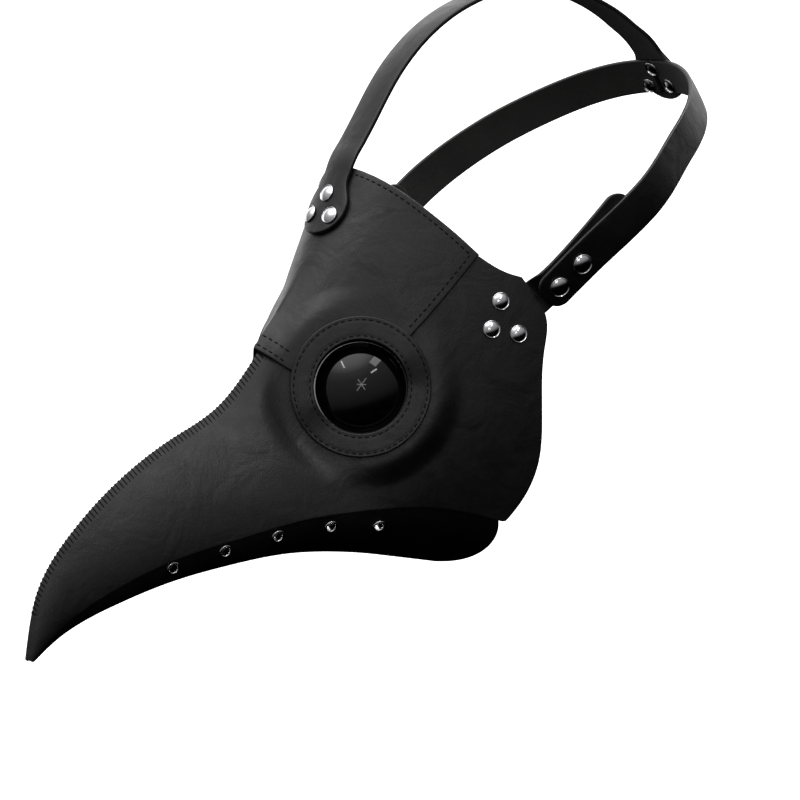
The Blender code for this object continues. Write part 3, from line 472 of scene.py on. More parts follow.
def lens_finish():
    """Lens drawn opaque, nearly black and glossy: painted shade of the dark inside seen through it; the
    faintest orange peel and dust.
    """
    # Near-black base colour: painted shade standing for the dark inside of the mask seen through the lens.
    finish, tree, shader = new_finish("lens_gloss_painted_dark_inside", (0.006, 0.006, 0.008), 0.04)
    shader.inputs["Specular IOR Level"].default_value = 0.42
    dust = pattern(tree, "ShaderNodeTexNoise", 240.0, Detail=6.0, Roughness=0.75)
    tree.links.new(spread(tree, dust.outputs["Fac"], 0.45, 0.8, 0.03, 0.12), shader.inputs["Roughness"])
    tint(tree, shader, spread(tree, dust.outputs["Fac"], 0.4, 0.8, 0.0, 1.0),
         (0.001, 0.001, 0.0015), (0.004, 0.004, 0.005))
    bump(tree, shader, dust.outputs["Fac"], 0.00002, 0.15)
    return finish


def thread_finish():
    """Waxed black thread: two plies that show as fine slanting ribs, slightly glossy."""
    finish, tree, shader = new_finish("waxed_black_thread", (0.002, 0.002, 0.002), 0.62)
    shader.inputs["Specular IOR Level"].default_value = 0.14
    ply = pattern(tree, "ShaderNodeTexWave", 900.0, Distortion=1.5)
    tint(tree, shader, ply.outputs["Fac"], (0.0015, 0.0015, 0.0015), (0.004, 0.004, 0.004))
    tree.links.new(spread(tree, ply.outputs["Fac"], 0.0, 1.0, 0.55, 0.72), shader.inputs["Roughness"])
    bump(tree, shader, ply.outputs["Fac"], 0.00008, 0.6)
    return finish


def plastic_finish():
    """Moulded black plastic of the inner lens ring, faintly textured."""
    finish, tree, shader = new_finish("moulded_black_plastic", (0.02, 0.02, 0.02), 0.5)
    spark = pattern(tree, "ShaderNodeTexNoise", 1300.0, Detail=3.0)
    tint(tree, shader, spark.outputs["Fac"], (0.014, 0.014, 0.014), (0.026, 0.026, 0.026))
    tree.links.new(spread(tree, spark.outputs["Fac"], 0.3, 0.7, 0.42, 0.6), shader.inputs["Roughness"])
    bump(tree, shader, spark.outputs["Fac"], 0.00006, 0.5)
    return finish


NICKEL = metal_finish()
LENS = lens_finish()
THREAD = thread_finish()
PLASTIC = plastic_finish()
print("finishes", [m.name for m in bpy.data.materials if m.use_nodes][:12])

# %% [markdown]
# ## How a panel gets its cut edge
# A real panel is a sheet with square, burnished edges.  Solidify and Bevel could do it, but the
# outlines here are long curves on a curved skin, so the edge is written as a formula instead:
# the sheet's half thickness falls to nothing over the last 0.7 mm, along a rounded square.  Grid
# lines are crowded there, spaced in real millimetres, so the edge stays crisp all the way round.

# %% Edge formula
EDGE_STEPS = np.array([0.0, 0.006, 0.03, 0.09, 0.2, 0.38, 0.7])


def half_thickness(distance, full):
    """full * (1 - (1 - distance/0.7)^3)^(1/3) near the edge: a rounded square."""
    gone = np.clip(1.0 - distance / EDGE_STEPS[-1], 0.0, 1.0)
    return full * (1.0 - gone ** 3) ** (1 / 3)


def crowded(count, length, start_cut=True, end_cut=True):
    """Fractions 0..1 for each length: edge steps in millimetres at cut ends, even between."""
    length = np.asarray(length, float)[..., None]
    rim = EDGE_STEPS / np.maximum(length, 4 * EDGE_STEPS[-1])
    low = rim if start_cut else rim[..., :1]
    high = 1.0 - rim[..., ::-1] if end_cut else np.ones_like(rim[..., :1])
    even = np.linspace(0, 1, count + 1)[1:-1]
    middle = low[..., -1:] + (high[..., :1] - low[..., -1:]) * even
    return np.concatenate([low, middle, high], axis=-1)


def coons(top, bottom, left, right):
    """Coons patch: the two ruled grids between opposite sides, less the grid of the corners."""
    s = np.linspace(0, 1, len(left))[:, None, None]
    t = np.linspace(0, 1, len(top))[None, :, None]
    corners = ((1 - s) * (1 - t) * top[0] + (1 - s) * t * top[-1]
               + s * (1 - t) * bottom[0] + s * t * bottom[-1])
    return (1 - s) * top[None] + s * bottom[None] + (1 - t) * left[:, None] + t * right[:, None] - corners


def sample(grid, s, t):
    """Bilinear value of a grid at fractions s down its rows and t along its columns."""
    rows, cols = grid.shape[:2]
    y, x = np.clip(s, 0, 1) * (rows - 1), np.clip(t, 0, 1) * (cols - 1)
    i, j = np.minimum(y.astype(int), rows - 2), np.minimum(x.astype(int), cols - 2)
    a, b = (y - i)[..., None], (x - j)[..., None]
    return ((1 - a) * (1 - b) * grid[i, j] + a * (1 - b) * grid[i + 1, j]
            + (1 - a) * b * grid[i, j + 1] + a * b * grid[i + 1, j + 1])


def side_lengths(points):
    """Millimetre lengths of a grid's rows, and of its columns."""
    along = np.linalg.norm(np.diff(points, axis=1), axis=-1).sum(1)
    down = np.linalg.norm(np.diff(points, axis=0), axis=-1).sum(0)
    return along, down


def panel_grids(base, rows, cols, cuts, layer_low):
    """Outer and inner points of a sheet over a (reach, drop) grid, with cut edges.

    cuts tells which of the first row, last row, first column and last column are cut edges.
    """
    along, down = side_lengths(skin(base[..., 0], base[..., 1]))
    row_at = crowded(rows, np.array(down.mean()), cuts[0], cuts[1])
    col_at = crowded(cols, np.array(along.mean()), cuts[2], cuts[3])
    down_here = np.interp(col_at, np.linspace(0, 1, len(down)), down)
    along_here = np.interp(row_at, np.linspace(0, 1, len(along)), along)
    s = crowded(rows, down_here, cuts[0], cuts[1]).T
    t = crowded(cols, along_here, cuts[2], cuts[3])
    uv = sample(base, s, t)
    far = np.full(s.shape, 99.0)
    for cut, gap in zip(cuts, (s * down_here, (1 - s) * down_here,
                               t * along_here[:, None], (1 - t) * along_here[:, None])):
        if cut:
            far = np.minimum(far, gap)
    half = half_thickness(far, LEATHER / 2)
    middle = layer_low + LEATHER / 2
    return raised(uv, middle + half), raised(uv, middle - half), far


def sheet_mesh(name, outer, inner, far, finishes, both_sides=False):
    """Two grids that meet along their cut edges, as one closed leather sheet."""
    rows, cols = far.shape
    sheets = [outer, inner]
    if both_sides:
        sheets += [mirror(outer), mirror(inner)]
    face = quads(rows, cols)
    count = rows * cols
    points = np.concatenate([sheet.reshape(-1, 3) for sheet in sheets])
    faces = np.concatenate([face + k * count for k in range(len(sheets))])
    on_rim = far.reshape(-1)[face].min(1) < 0.19
    kinds = [np.where(on_rim, 1, 0 if k % 2 == 0 else 2) for k in range(len(sheets))]
    return put_mesh(name, points, faces, finishes, np.concatenate(kinds))


# %% [markdown]
# ## The panels
# Each panel is the patch of skin inside its own outline, on its own layer: the side panels lie
# on the skin, the forehead panel over them, the under-beak panel inside them.  The outlines are
# a few points each, joined by splines and dropped onto the skin.

# %% Outlines
BROW_EDGE = ((0, -91, 48), (17, -88.5, 42), (29.5, -84.5, 32.5), (38, -80.5, 22.5), (45, -76, 11.5),
             (51.5, -71.5, -0.5))
CHEEK_TOP = ((51.5, -71.5, -0.5), (55, -67, -7.5), (58, -63, -12), (60.5, -58.5, -15.5))
CHEEK_REAR = ((60.5, -58.5, -15.5), (63.5, -56.5, -24.5), (66, -55.5, -36.5), (66, -61.5, -49), (66, -68, -63),
              (66, -73.5, -79), (64, -80, -95.5), (60, -91, -109), (55, -102.5, -117))
DIAGONAL = ((51.5, -71.5, -0.5), (49, -83, -7), (42, -110, -22), EYE_CENTRE)
BRIDGE_EDGE = ((0, -164, -11.5), (4, -162, -15), (9, -156.5, -23), EYE_CENTRE)
HIDDEN_CORNER = (47, -80, 5)
HIDDEN_BRIDGE_REACH = 109.0
CHEEK_RIVETS = ((58, -71.5, -22), (57, -80, -32), (62, -70, -38))
FOREHEAD_RIVETS = ((0, -103.5, 39.5), (6.8, -110.5, 32), (-6.8, -110.5, 32))
REAR_RIVETS = ((0.0, 25.0), (7.0, 16.0), (-7.0, 16.0))
EYELET_REACHES = (108.0, 132.0, 156.0, 180.0, 204.0)
EYELET_DROPS = (1.26, 1.20, 1.18, 1.18, 1.18)
FINE = 4


def side_outline():
    """Grid of (reach, drop) from the tip of the beak back to the cheek, crest to lower seam."""
    rear = nearest(curve(CHEEK_REAR, 12 * FINE), skin)
    rear[-1, 1] = 1.0
    hidden_eye = EYE_UV + np.array([-4.0, -0.10])
    corner = nearest(HIDDEN_CORNER, skin)[0]
    crest = straight((TIP_REACH, 0), (HIDDEN_BRIDGE_REACH, 0), 17 * FINE)
    hidden = np.concatenate([straight(crest[-1], hidden_eye, 6 * FINE),
                             straight(hidden_eye, corner, 6 * FINE)[1:]])
    cheek = nearest(curve(CHEEK_TOP, 5 * FINE), skin)
    upper = np.concatenate([crest, hidden[1:], straight(corner, cheek[0], FINE)[1:], cheek[1:]])
    upper[-1] = rear[0]
    lower = np.concatenate([straight((TIP_REACH, 1), (HIDDEN_BRIDGE_REACH, 1), 17 * FINE),
                            straight((HIDDEN_BRIDGE_REACH, 1), rear[-1], 18 * FINE)[1:]])
    return coons(upper, lower, straight((TIP_REACH, 0), (TIP_REACH, 1), 12 * FINE), rear)


def forehead_outline():
    """Left half of the forehead panel: crest to diagonal, brow to bridge."""
    brow = nearest(curve(BROW_EDGE, 10 * FINE), skin)
    brow[0, 1] = 0.0
    bridge = nearest(curve(BRIDGE_EDGE, 10 * FINE), skin)
    bridge[0, 1] = 0.0
    return coons(straight(brow[0], bridge[0], 12 * FINE), nearest(curve(DIAGONAL, 12 * FINE), skin),
                 brow, bridge)


def under_outline():
    """Left half of the under-beak panel: its tucked edge to the keel, tip to throat."""
    reach = np.linspace(TIP_REACH - 2, 24, 24 * FINE + 1)
    tuck = np.interp(reach, (24, 118, 235, TIP_REACH), (0.94, 0.90, 0.82, 0.75))
    upper = np.stack([reach, tuck], -1)
    keel = np.stack([reach + np.linspace(0, 6, len(reach)), np.full(len(reach), 2.0)], -1)
    return coons(upper, keel, straight(upper[0], keel[0], 7 * FINE), straight(upper[-1], keel[-1], 7 * FINE))


SIDE_BASE = side_outline()
FOREHEAD_BASE = forehead_outline()
UNDER_BASE = under_outline()
print("outline grids", SIDE_BASE.shape, FOREHEAD_BASE.shape, UNDER_BASE.shape)

# %% [markdown]
# The side panels are mirror images.  Each has a round hole for its lens, cut by a Boolean with a
# rod along the eye's axis, because a hole through a grid is the one thing a grid cannot do.

# %% Side panels
SHELL_HOLE = 21.2


def side_panel(hand):
    outer, inner, far = panel_grids(SIDE_BASE, 74, 130, (True, True, True, True), -LEATHER)
    flip = FLIPS[hand]
    panel = sheet_mesh(hand + "_side_leather", outer * flip, inner * flip, far, LEATHER_SIDES)
    cut_holes(panel, EYE * flip, EYE_NORMAL * flip, SHELL_HOLE)
    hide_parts(hand + "_side_panel")
    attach(panel, "mask")


for hand in FLIPS:
    side_panel(hand)

# %% [markdown]
# The forehead panel crosses the middle, so its left half is made and mirrored, and the two are
# merged along the crest.  It laps over both side panels.

# %% Forehead panel
PANEL_GAP = 0.45
FOREHEAD_LOW = PANEL_GAP
outer, inner, far = panel_grids(FOREHEAD_BASE, 64, 74, (False, True, True, True), FOREHEAD_LOW)
forehead = sheet_mesh("forehead_leather", outer, inner, far, LEATHER_SIDES, both_sides=True)
cut_holes(forehead, np.stack([EYE, mirror(EYE)]), np.stack([EYE_NORMAL, mirror(EYE_NORMAL)]), SHELL_HOLE)
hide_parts("forehead_panel")
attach(forehead, "mask")

# %% [markdown]
# The under-beak panel closes the beak from below.  Its upper edges are tucked inside the side
# panels, and a row of vent eyelets runs along each flank.

# %% Under-beak panel with its vent holes
EYELETS = np.stack([EYELET_REACHES, EYELET_DROPS], -1)
EYELET_HOLE = 2.5
UNDER_TOP = -LEATHER - 0.3
EYELET_SKIN = skin(EYELETS[:, 0], EYELETS[:, 1])
EYELET_OUT = skin_normal(EYELETS[:, 0], EYELETS[:, 1])
outer, inner, far = panel_grids(UNDER_BASE, 44, 120, (True, False, True, True), UNDER_TOP - LEATHER)
under = sheet_mesh("under_beak_leather", outer, inner, far, LEATHER_SIDES, both_sides=True)
cut_holes(under, np.concatenate([EYELET_SKIN, mirror(EYELET_SKIN)]),
          np.concatenate([EYELET_OUT, mirror(EYELET_OUT)]), EYELET_HOLE, sides=28)
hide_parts("under_beak_panel")
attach(under, "mask")

# %% [markdown]
# ## Eyes
# A flat leather ring is sewn round each lens.  Its inner half lies on the side panel and its
# upper part climbs over the forehead panel's edge, so the ring's height is a smooth function of
# the angle.  The lens is a spherical dome with a flat flange that the ring and shell clamp.

# %% Eye frame and ring height
RING_OUTER = 31.0
RING_INNER = 20.6
STITCH_CIRCLES = (22.3, 29.4)
RING_STEP = (21.0, 176.0, 42.0)
LEVEL = unit(np.cross([0.0, 0.0, 1.0], EYE_NORMAL))
UPWARD = np.cross(EYE_NORMAL, LEVEL)


def ring_height(angle):
    """Rise over the forehead panel: full inside the arc, fading out on a smooth step."""
    start, stop, fade = np.radians(RING_STEP)
    middle = (start + stop) / 2
    away = np.abs((angle - middle + math.pi) % (2 * math.pi) - math.pi)
    return (LEATHER + PANEL_GAP) * (1.0 - smooth((away - (stop - start) / 2) / fade))


def on_ring(radius, angle, height):
    """Point at a radius and angle round the eye, at a height over the ring's seat."""
    across = np.cos(angle)[..., None] * LEVEL + np.sin(angle)[..., None] * UPWARD
    lift = (height + ring_height(angle))[..., None]
    return EYE + radius[..., None] * across + lift * EYE_NORMAL


# %% Eye rings
def eye_ring(hand):
    """A closed section carried round the eye: flat faces, rounded-square cut edges."""
    flip = FLIPS[hand]
    fraction = crowded(10, np.array(RING_OUTER - RING_INNER))
    radius = RING_INNER + (RING_OUTER - RING_INNER) * fraction
    edge = np.minimum(radius - RING_INNER, RING_OUTER - radius)
    half = half_thickness(edge, LEATHER / 2)
    groove = sum(np.exp(-((radius - r) / 0.45) ** 2) for r in STITCH_CIRCLES) * 0.22
    radius = np.concatenate([radius, radius[-2:0:-1]])
    height = 0.3 + LEATHER / 2 + np.concatenate([half - groove, -half[-2:0:-1]])
    edge = np.concatenate([edge, edge[-2:0:-1]])
    angle = np.linspace(0, 2 * math.pi, 160, endpoint=False)
    points = on_ring(np.broadcast_to(radius[:, None], (len(radius), 160)), angle[None].repeat(len(radius), 0),
                     height[:, None])
    points = np.concatenate([points, points[:1]])
    faces = quads(len(points), 160, wrap=True)
    edges = np.concatenate([edge, edge[:1]])
    on_rim = np.repeat(edges, 160)[faces].min(1) < 0.19
    low = np.repeat(np.append(height, height[0]), 160)[faces].mean(1) < 0.3 + LEATHER / 2 - 0.3
    ring = put_mesh(hand + "_eye_ring_leather", points.reshape(-1, 3) * flip, faces, LEATHER_SIDES,
                    np.where(on_rim, 1, np.where(low, 2, 0)))
    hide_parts(hand + "_eye_ring")
    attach(ring, "mask")


for hand in FLIPS:
    eye_ring(hand)


# %% Lenses
def lens(hand):
    """Dome: a cap of a sphere 7.5 mm high, 1.5 mm thick, on a flat flange under the shell."""
    flip = FLIPS[hand]
    seat, rise, wall, reach = -LEATHER - 0.3, 7.5, 1.5, 20.0
    ball = (reach ** 2 + rise ** 2) / (2 * rise)
    sweep = np.linspace(math.asin(reach / ball), 0, 26)
    centre = seat + rise - ball
    dome = np.stack([ball * np.sin(sweep), centre + ball * np.cos(sweep)], -1)
    hollow = np.stack([(ball - wall) * np.sin(sweep), centre + (ball - wall) * np.cos(sweep)], -1)
    flange = np.array([(27.0, seat - wall), (27.0, seat - 0.1), (26.9, seat), (20.6, seat)])
    foot = np.array([(hollow[0, 0], seat - wall), (27.0, seat - wall)])
    profile = np.concatenate([flange, dome, hollow[::-1], foot])
    glass = put_mesh(hand + "_lens_dome", *turned(profile, EYE * flip, EYE_NORMAL * flip, 128), [LENS])
    glass.data.set_sharp_from_angle(angle=math.radians(40))
    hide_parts(hand + "_lens")
    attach(glass, "mask")
    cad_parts[hand + "_lens_retaining_ring"].data.materials.clear()
    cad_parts[hand + "_lens_retaining_ring"].data.materials.append(PLASTIC)


for hand in FLIPS:
    lens(hand)

# %% [markdown]
# ## Straps
# A strap is a long narrow sheet: a line down its middle, a width along that line, and a height
# over whatever it lies on.  Curves with a bevel would twist on a head; a grid keeps its flat
# side down.  The head is taken as an ellipsoid, and a strap point is pushed onto it and out
# along its normal.

# %% Points on the head and along a line
STRAP_WIDTH = 17.5
STRAP_LOW = 0.6
STRAP_OVER_TAB = 4.4
TAB_ON_HEAD = 2.1
END_RADIUS = 7.0
SNAP_HOLE = 3.4


def on_head(points, height):
    """Point scaled onto the ellipsoid x2/a2 + y2/b2 + z2/c2 = 1, then out along its normal."""
    points = points / np.linalg.norm(points / HEAD, axis=-1, keepdims=True)
    return points + unit(points / HEAD ** 2) * height


def on_skin(points, height):
    """Points on either side dropped onto the skin, then raised."""
    flat = points.reshape(-1, 3)
    flip = np.where(flat[:, :1] < 0, -1.0, 1.0) * np.array([1.0, 0, 0]) + np.array([0, 1.0, 1.0])
    uv = nearest(flat * flip, skin)
    rise = np.broadcast_to(np.asarray(height, float)[..., None], points.shape[:-1] + (1,)).reshape(-1, 1)
    out = skin(uv[:, 0], uv[:, 1]) + skin_normal(uv[:, 0], uv[:, 1]) * rise
    return (out * flip).reshape(points.shape)


def along(points, distances):
    """Places and directions at distances along the spline through points, and its length."""
    fine = curve(points, 800)
    gone = np.concatenate([[0], np.cumsum(np.linalg.norm(np.diff(fine, axis=0), axis=1))])
    distances = np.asarray(distances, float)
    place, ahead, behind = (np.stack([np.interp(at, gone, fine[:, k]) for k in range(3)], -1)
                            for at in (distances, distances + 0.5, distances - 0.5))
    return place, unit(ahead - behind), gone[-1]


def strap_rows(length, start_radius, end_radius, step):
    """Distances along a strap: on quarter circles at round ends, even between."""
    turn = np.linspace(0, math.pi / 2, 14)
    start = start_radius * (1 - np.cos(turn)) if start_radius else np.array([0.0])
    end = length - (end_radius * (1 - np.cos(turn)) if end_radius else np.array([0.0]))[::-1]
    count = int((end[0] - start[-1]) / step)
    return np.concatenate([start, np.linspace(start[-1], end[0], count + 1)[1:-1], end])


def strap_outline(rows, length, width, start_radius, end_radius, cut_end=True):
    """Across position and distance from the cut edge, for every row and crowded column.

    An end has corners of radius R.  Within R of it, half the width is w/2 - R + sqrt(R2 - (R - gone)2),
    and the distance in a corner is R less the distance from the corner's centre.
    """
    full = np.broadcast_to(width / 2, rows.shape)
    half = full.copy()
    ends = ((rows, start_radius), (length - rows, end_radius))
    for gone, radius in ends:
        inside = np.clip(radius - gone, 0, radius)
        half = half - radius + np.sqrt(radius ** 2 - inside ** 2)
    x = (crowded(14, 2 * half) * 2 - 1) * half[:, None]
    far = full[:, None] - np.abs(x)
    for gone, radius in ends if cut_end else ends[:1]:
        aside = np.abs(x) - (full - radius)[:, None]
        ahead = (radius - gone)[:, None]
        corner = radius - np.hypot(np.maximum(aside, 0), np.maximum(ahead, 0))
        far = np.minimum(far, corner - np.minimum(np.maximum(aside, ahead), 0))
    return x, np.maximum(far, 0.0)


def strap_mesh(name, surface, far):
    """A strap from a function that gives its points at a height within its thickness."""
    half = half_thickness(far, LEATHER / 2)
    return sheet_mesh(name, surface(LEATHER / 2 + half), surface(LEATHER / 2 - half), far, STRAP_SIDES)


# %% [markdown]
# The head strap is riveted to the forehead with a wide round spade, arches free over the brow,
# lies along the crown and ends in a second spade on the back strap.

# %% Head strap
HEAD_STRAP_LINE = ((-117, 25.5), (-109, 34.4), (-101, 43), (-91.6, 50), (-74, 62.4), (-56.4, 75.3),
                   (-29.8, 87.9), (0, 92.5), (30, 88.3), (57, 75.9), (79, 56.8), (92.4, 36), (98.1, 21.5),
                   (100.4, 7.5))
HEAD_STRAP_ARCH = 60.0
SPADE_WIDTH = 27.0
SPADE_LENGTH = 25.0
ON_PANEL_LENGTH = 30.0
ON_BACK_LENGTH = 32.0
SIDE_STRAP_LINE = ((63.8, -53.5, -27.6), (69, -43, -21), (73, -30, -14.2), (76, -10, -6.8), (76.5, 8, -1),
                   (71, 35, 7.5), (56, 66, 14.5), (30, 88, 19.5), (0, 95.7, 20.5))
STRAP_LIFT_Y = (-54.0, -46.0)
OVER_TAB_Y = (2.0, 42.0)
SNAP_FROM_END = 8.7
SNAP_PITCH = 14.0
TAB_LINE = ((60, -90, -31.5), (61, -78, -29), (63, -66, -28.5), (65.5, -53, -25), (70.5, -38, -17),
            (75, -22, -8), (77, -4, 0.8))
TAB_ROOT_WIDTH = 27.0
TAB_LEAVES = (-55.0, -50.5)


def head_strap():
    """Strap in the middle plane: on the skin in front, on the head behind, free between."""
    line = np.array([(0.0, y, z) for y, z in HEAD_STRAP_LINE])
    length = along(line, [0.0])[2]
    rows = strap_rows(length, SPADE_WIDTH / 2, SPADE_WIDTH / 2, 1.6)
    place, ahead, _ = along(line, rows)
    out = unit(np.cross([1.0, 0.0, 0.0], ahead))
    neck = smooth((rows - SPADE_LENGTH * 0.6) / (SPADE_LENGTH * 0.5))
    neck *= smooth((length - rows - SPADE_LENGTH * 0.6) / (SPADE_LENGTH * 0.5))
    width = SPADE_WIDTH + (STRAP_WIDTH - SPADE_WIDTH) * neck
    x, far = strap_outline(rows, length, width, SPADE_WIDTH / 2, SPADE_WIDTH / 2)
    arched = (place[:, None] + x[..., None] * np.array([1.0, 0, 0])
              - out[:, None] * (x * x / (2 * HEAD_STRAP_ARCH))[..., None])
    free = smooth((rows - ON_PANEL_LENGTH) / 16.0)[:, None, None]
    behind = smooth((length - rows - ON_BACK_LENGTH) / 16.0)[:, None, None]

    def surface(height):
        lying = on_skin(arched, 2 * PANEL_GAP + LEATHER + height)
        on_back = on_head(arched, (STRAP_LOW + LEATHER + 0.3 + height)[..., None])
        hanging = arched + out[:, None] * height[..., None]
        return (1 - free) * lying + (1 - behind) * on_back + (free + behind - 1) * hanging

    strap = strap_mesh("head_strap_leather", surface, far)
    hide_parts("head_strap")
    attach(strap, "mask")


head_strap()

# %% [markdown]
# The side strap is one long strap round the back of the head, snapped to a tab on each cheek.
# On the real mask an undone snap lets the strap's end swing out, bending near the back.  Each half is one
# piece; the halves meet under the head strap's rear spade.


def strip_on_head(line, rows, x, height):
    """Points across a strip on the head: sideways of its line, then pushed onto the head."""
    place, ahead, _ = along(line, rows)
    aside = unit(np.cross(ahead, unit(place / HEAD ** 2)))
    return on_head(place[:, None] + x[..., None] * aside[:, None], height[..., None])


def snap_places():
    """Feet of the two snaps on the head below the strap's line, and the ways they face."""
    line = along(SIDE_STRAP_LINE, np.array([SNAP_FROM_END, SNAP_FROM_END + SNAP_PITCH]))[0]
    foot = on_head(line, np.zeros((2, 1)))
    return foot, unit(foot / HEAD ** 2)


def side_strap(hand):
    """Left half of the back strap: over the tab in front, stepping down onto the head behind."""
    length = along(SIDE_STRAP_LINE, [0.0])[2]
    rows = strap_rows(length, END_RADIUS, 0.0, 1.6)
    place = along(SIDE_STRAP_LINE, rows)[0]
    x, far = strap_outline(rows, length, np.array(STRAP_WIDTH), END_RADIUS, 0.0, cut_end=False)
    lower = smooth((place[:, 1] - OVER_TAB_Y[0]) / (OVER_TAB_Y[1] - OVER_TAB_Y[0]))
    lifted = 1.0 - smooth((place[:, 1] - STRAP_LIFT_Y[0]) / (STRAP_LIFT_Y[1] - STRAP_LIFT_Y[0]))
    base = (STRAP_OVER_TAB + (STRAP_LOW - STRAP_OVER_TAB) * lower + 0.6 * lifted)[:, None]
    flip = FLIPS[hand]
    far[-1] = 0.0
    strap = strap_mesh(hand + "_side_strap_leather",
                       lambda height: strip_on_head(SIDE_STRAP_LINE, rows, x, base + height) * flip, far)
    foot, out = snap_places()
    cut_holes(strap, foot * flip, out * flip, SNAP_HOLE, sides=40)
    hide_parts(hand + "_side_strap", "back_strap_middle")
    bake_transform(strap)


for hand in FLIPS:
    side_strap(hand)

# %% [markdown]
# Each cheek tab is one piece of leather.  Its round root is riveted inside the cheek and its
# tail lies on the head under the side strap, carrying the two snap studs.


# %% Tabs
def tab(hand):
    """Tab: under the cheek's layer in front, on the head behind, smooth step between."""
    length = along(TAB_LINE, [0.0])[2]
    rows = strap_rows(length, TAB_ROOT_WIDTH / 2, STRAP_WIDTH / 2, 1.4)
    place, ahead, _ = along(TAB_LINE, rows)
    width = TAB_ROOT_WIDTH + (STRAP_WIDTH - TAB_ROOT_WIDTH) * smooth((rows - 16.0) / 16.0)
    x, far = strap_outline(rows, length, width, TAB_ROOT_WIDTH / 2, STRAP_WIDTH / 2)
    aside = unit(np.cross(ahead, unit(place / HEAD ** 2)))
    flat = place[:, None] + x[..., None] * aside[:, None]
    free = smooth((place[:, 1] - TAB_LEAVES[0]) / (TAB_LEAVES[1] - TAB_LEAVES[0]))[:, None, None]
    flip = FLIPS[hand]

    def surface(height):
        lying = on_skin(flat, UNDER_TOP - LEATHER + height)
        return ((1 - free) * lying + free * on_head(flat, (TAB_ON_HEAD + height)[..., None])) * flip

    piece = strap_mesh(hand + "_tab_leather", surface, far)
    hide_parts(hand + "_tab_root", hand + "_tab_tail")
    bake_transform(piece)


for hand in FLIPS:
    tab(hand)

# %% [markdown]
# ## Rivets, snaps and eyelets
# All the metal is turned: a profile of radii and heights spun about the rivet's own axis.  A
# real double-cap rivet has a domed cap with a rolled rim on each face of the leather.

# %% Profiles
def arc(centre_r, centre_z, radius, start, stop, count):
    """Points on a circle in the profile plane, between two angles in degrees."""
    a = np.radians(np.linspace(start, stop, count))
    return np.stack([centre_r + radius * np.cos(a), centre_z + radius * np.sin(a)], -1)


def cap(radius, base, rise):
    """Domed cap: a rolled rim, then a cap of a sphere to the middle."""
    rim = arc(radius - 0.38, base + 0.38, 0.38, -90, 75, 9)
    ball = (radius ** 2 + rise ** 2) / (2 * rise)
    sweep = np.linspace(math.asin((radius - 0.55) / ball), 0, 12)
    dome = np.stack([ball * np.sin(sweep), base + rise + ball * (np.cos(sweep) - 1)], -1)
    return np.concatenate([rim, dome])


def rivet(low, high):
    """Inner cap, shank and outer cap, clamping leather between two heights."""
    back = cap(3.7, 0.0, 0.9)[::-1] * np.array([1.0, -1.0]) + np.array([0.0, low - 0.25])
    shank = np.array([(1.5, low - 0.25), (1.5, high + 0.1)])
    return np.concatenate([back, shank, cap(4.0, high + 0.1, 1.75)])


METAL_SIDES = 40


def turned_piece(name, profile, centres, normals, nodes, body):
    """One object of turned copies that rides on a body and stands for CAD nodes."""
    piece = put_mesh(name, *turned(profile, centres, normals, METAL_SIDES), [NICKEL])
    piece.data.set_sharp_from_angle(angle=math.radians(60))
    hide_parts(*nodes)
    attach(piece, body)
    return piece


def spots(points):
    """Skin places and normals below given points; a point in the middle plane stays there."""
    uv = nearest(np.abs(points) * np.array([1.0, 0, 0]) + np.array(points) * np.array([0, 1.0, 1.0]), skin)
    place, out = skin(uv[:, 0], uv[:, 1]), skin_normal(uv[:, 0], uv[:, 1])
    side = np.sign(np.array(points)[:, :1]) * np.array([1.0, 0, 0]) + np.array([0, 1.0, 1.0])
    return place * side, unit(out * side)


# %% Rivets
for hand, flip in FLIPS.items():
    place, out = spots(np.array(CHEEK_RIVETS))
    turned_piece(hand + "_cheek_rivets", rivet(-2 * LEATHER - 0.3, 0.0), place * flip, out * flip,
                 [f"{hand}_cheek_rivet_{k}" for k in (1, 2, 3)], "mask")

place, out = spots(np.array(FOREHEAD_RIVETS, float))
turned_piece("forehead_rivets", rivet(PANEL_GAP - 0.3, 2 * PANEL_GAP + 2 * LEATHER), place, out,
             [f"forehead_rivet_{k}" for k in (1, 2, 3)], "mask")

rear = np.array([(x, HEAD[1] * math.sqrt(1 - (x / HEAD[0]) ** 2 - (z / HEAD[2]) ** 2), z)
                 for x, z in REAR_RIVETS])
turned_piece("back_rivets", rivet(STRAP_LOW, STRAP_LOW + 2 * LEATHER + 0.6), rear, rear / HEAD ** 2,
             [f"back_rivet_{k}" for k in (1, 2, 3)], "mask")

# %% [markdown]
# A vent eyelet is a short tube whose outer lip is rolled over the leather.  Its bore stays open,
# so the beak can breathe, and its inner lip is splayed flat.


# %% Eyelets
def eyelet():
    """Closed ring section: bore, rolled lip, shank, splayed inner lip, back to the bore."""
    high = UNDER_TOP + 0.25
    low = UNDER_TOP - LEATHER - 0.25
    lip = arc(2.55, high + 0.1, 0.62, -60, 200, 15)
    lip[:, 1] = np.maximum(lip[:, 1], high)
    inner_lip = np.array([(2.2, low), (2.9, low), (3.0, low - 0.2), (2.7, low - 0.45), (1.75, low - 0.45)])
    ring = np.concatenate([lip[::-1], [(2.2, high)], inner_lip])[::-1]
    return np.concatenate([ring, ring[:1]])


for hand, flip in FLIPS.items():
    turned_piece(hand + "_vent_eyelets", eyelet(), EYELET_SKIN * flip, EYELET_OUT * flip,
                 [f"{hand}_eyelet_{k}" for k in range(1, 6)], "mask")

# %% [markdown]
# A snap has a domed cap with its socket on the side strap, and a stud on the tab that clicks
# into the socket.  They ride on different bodies, so each is its own piece.

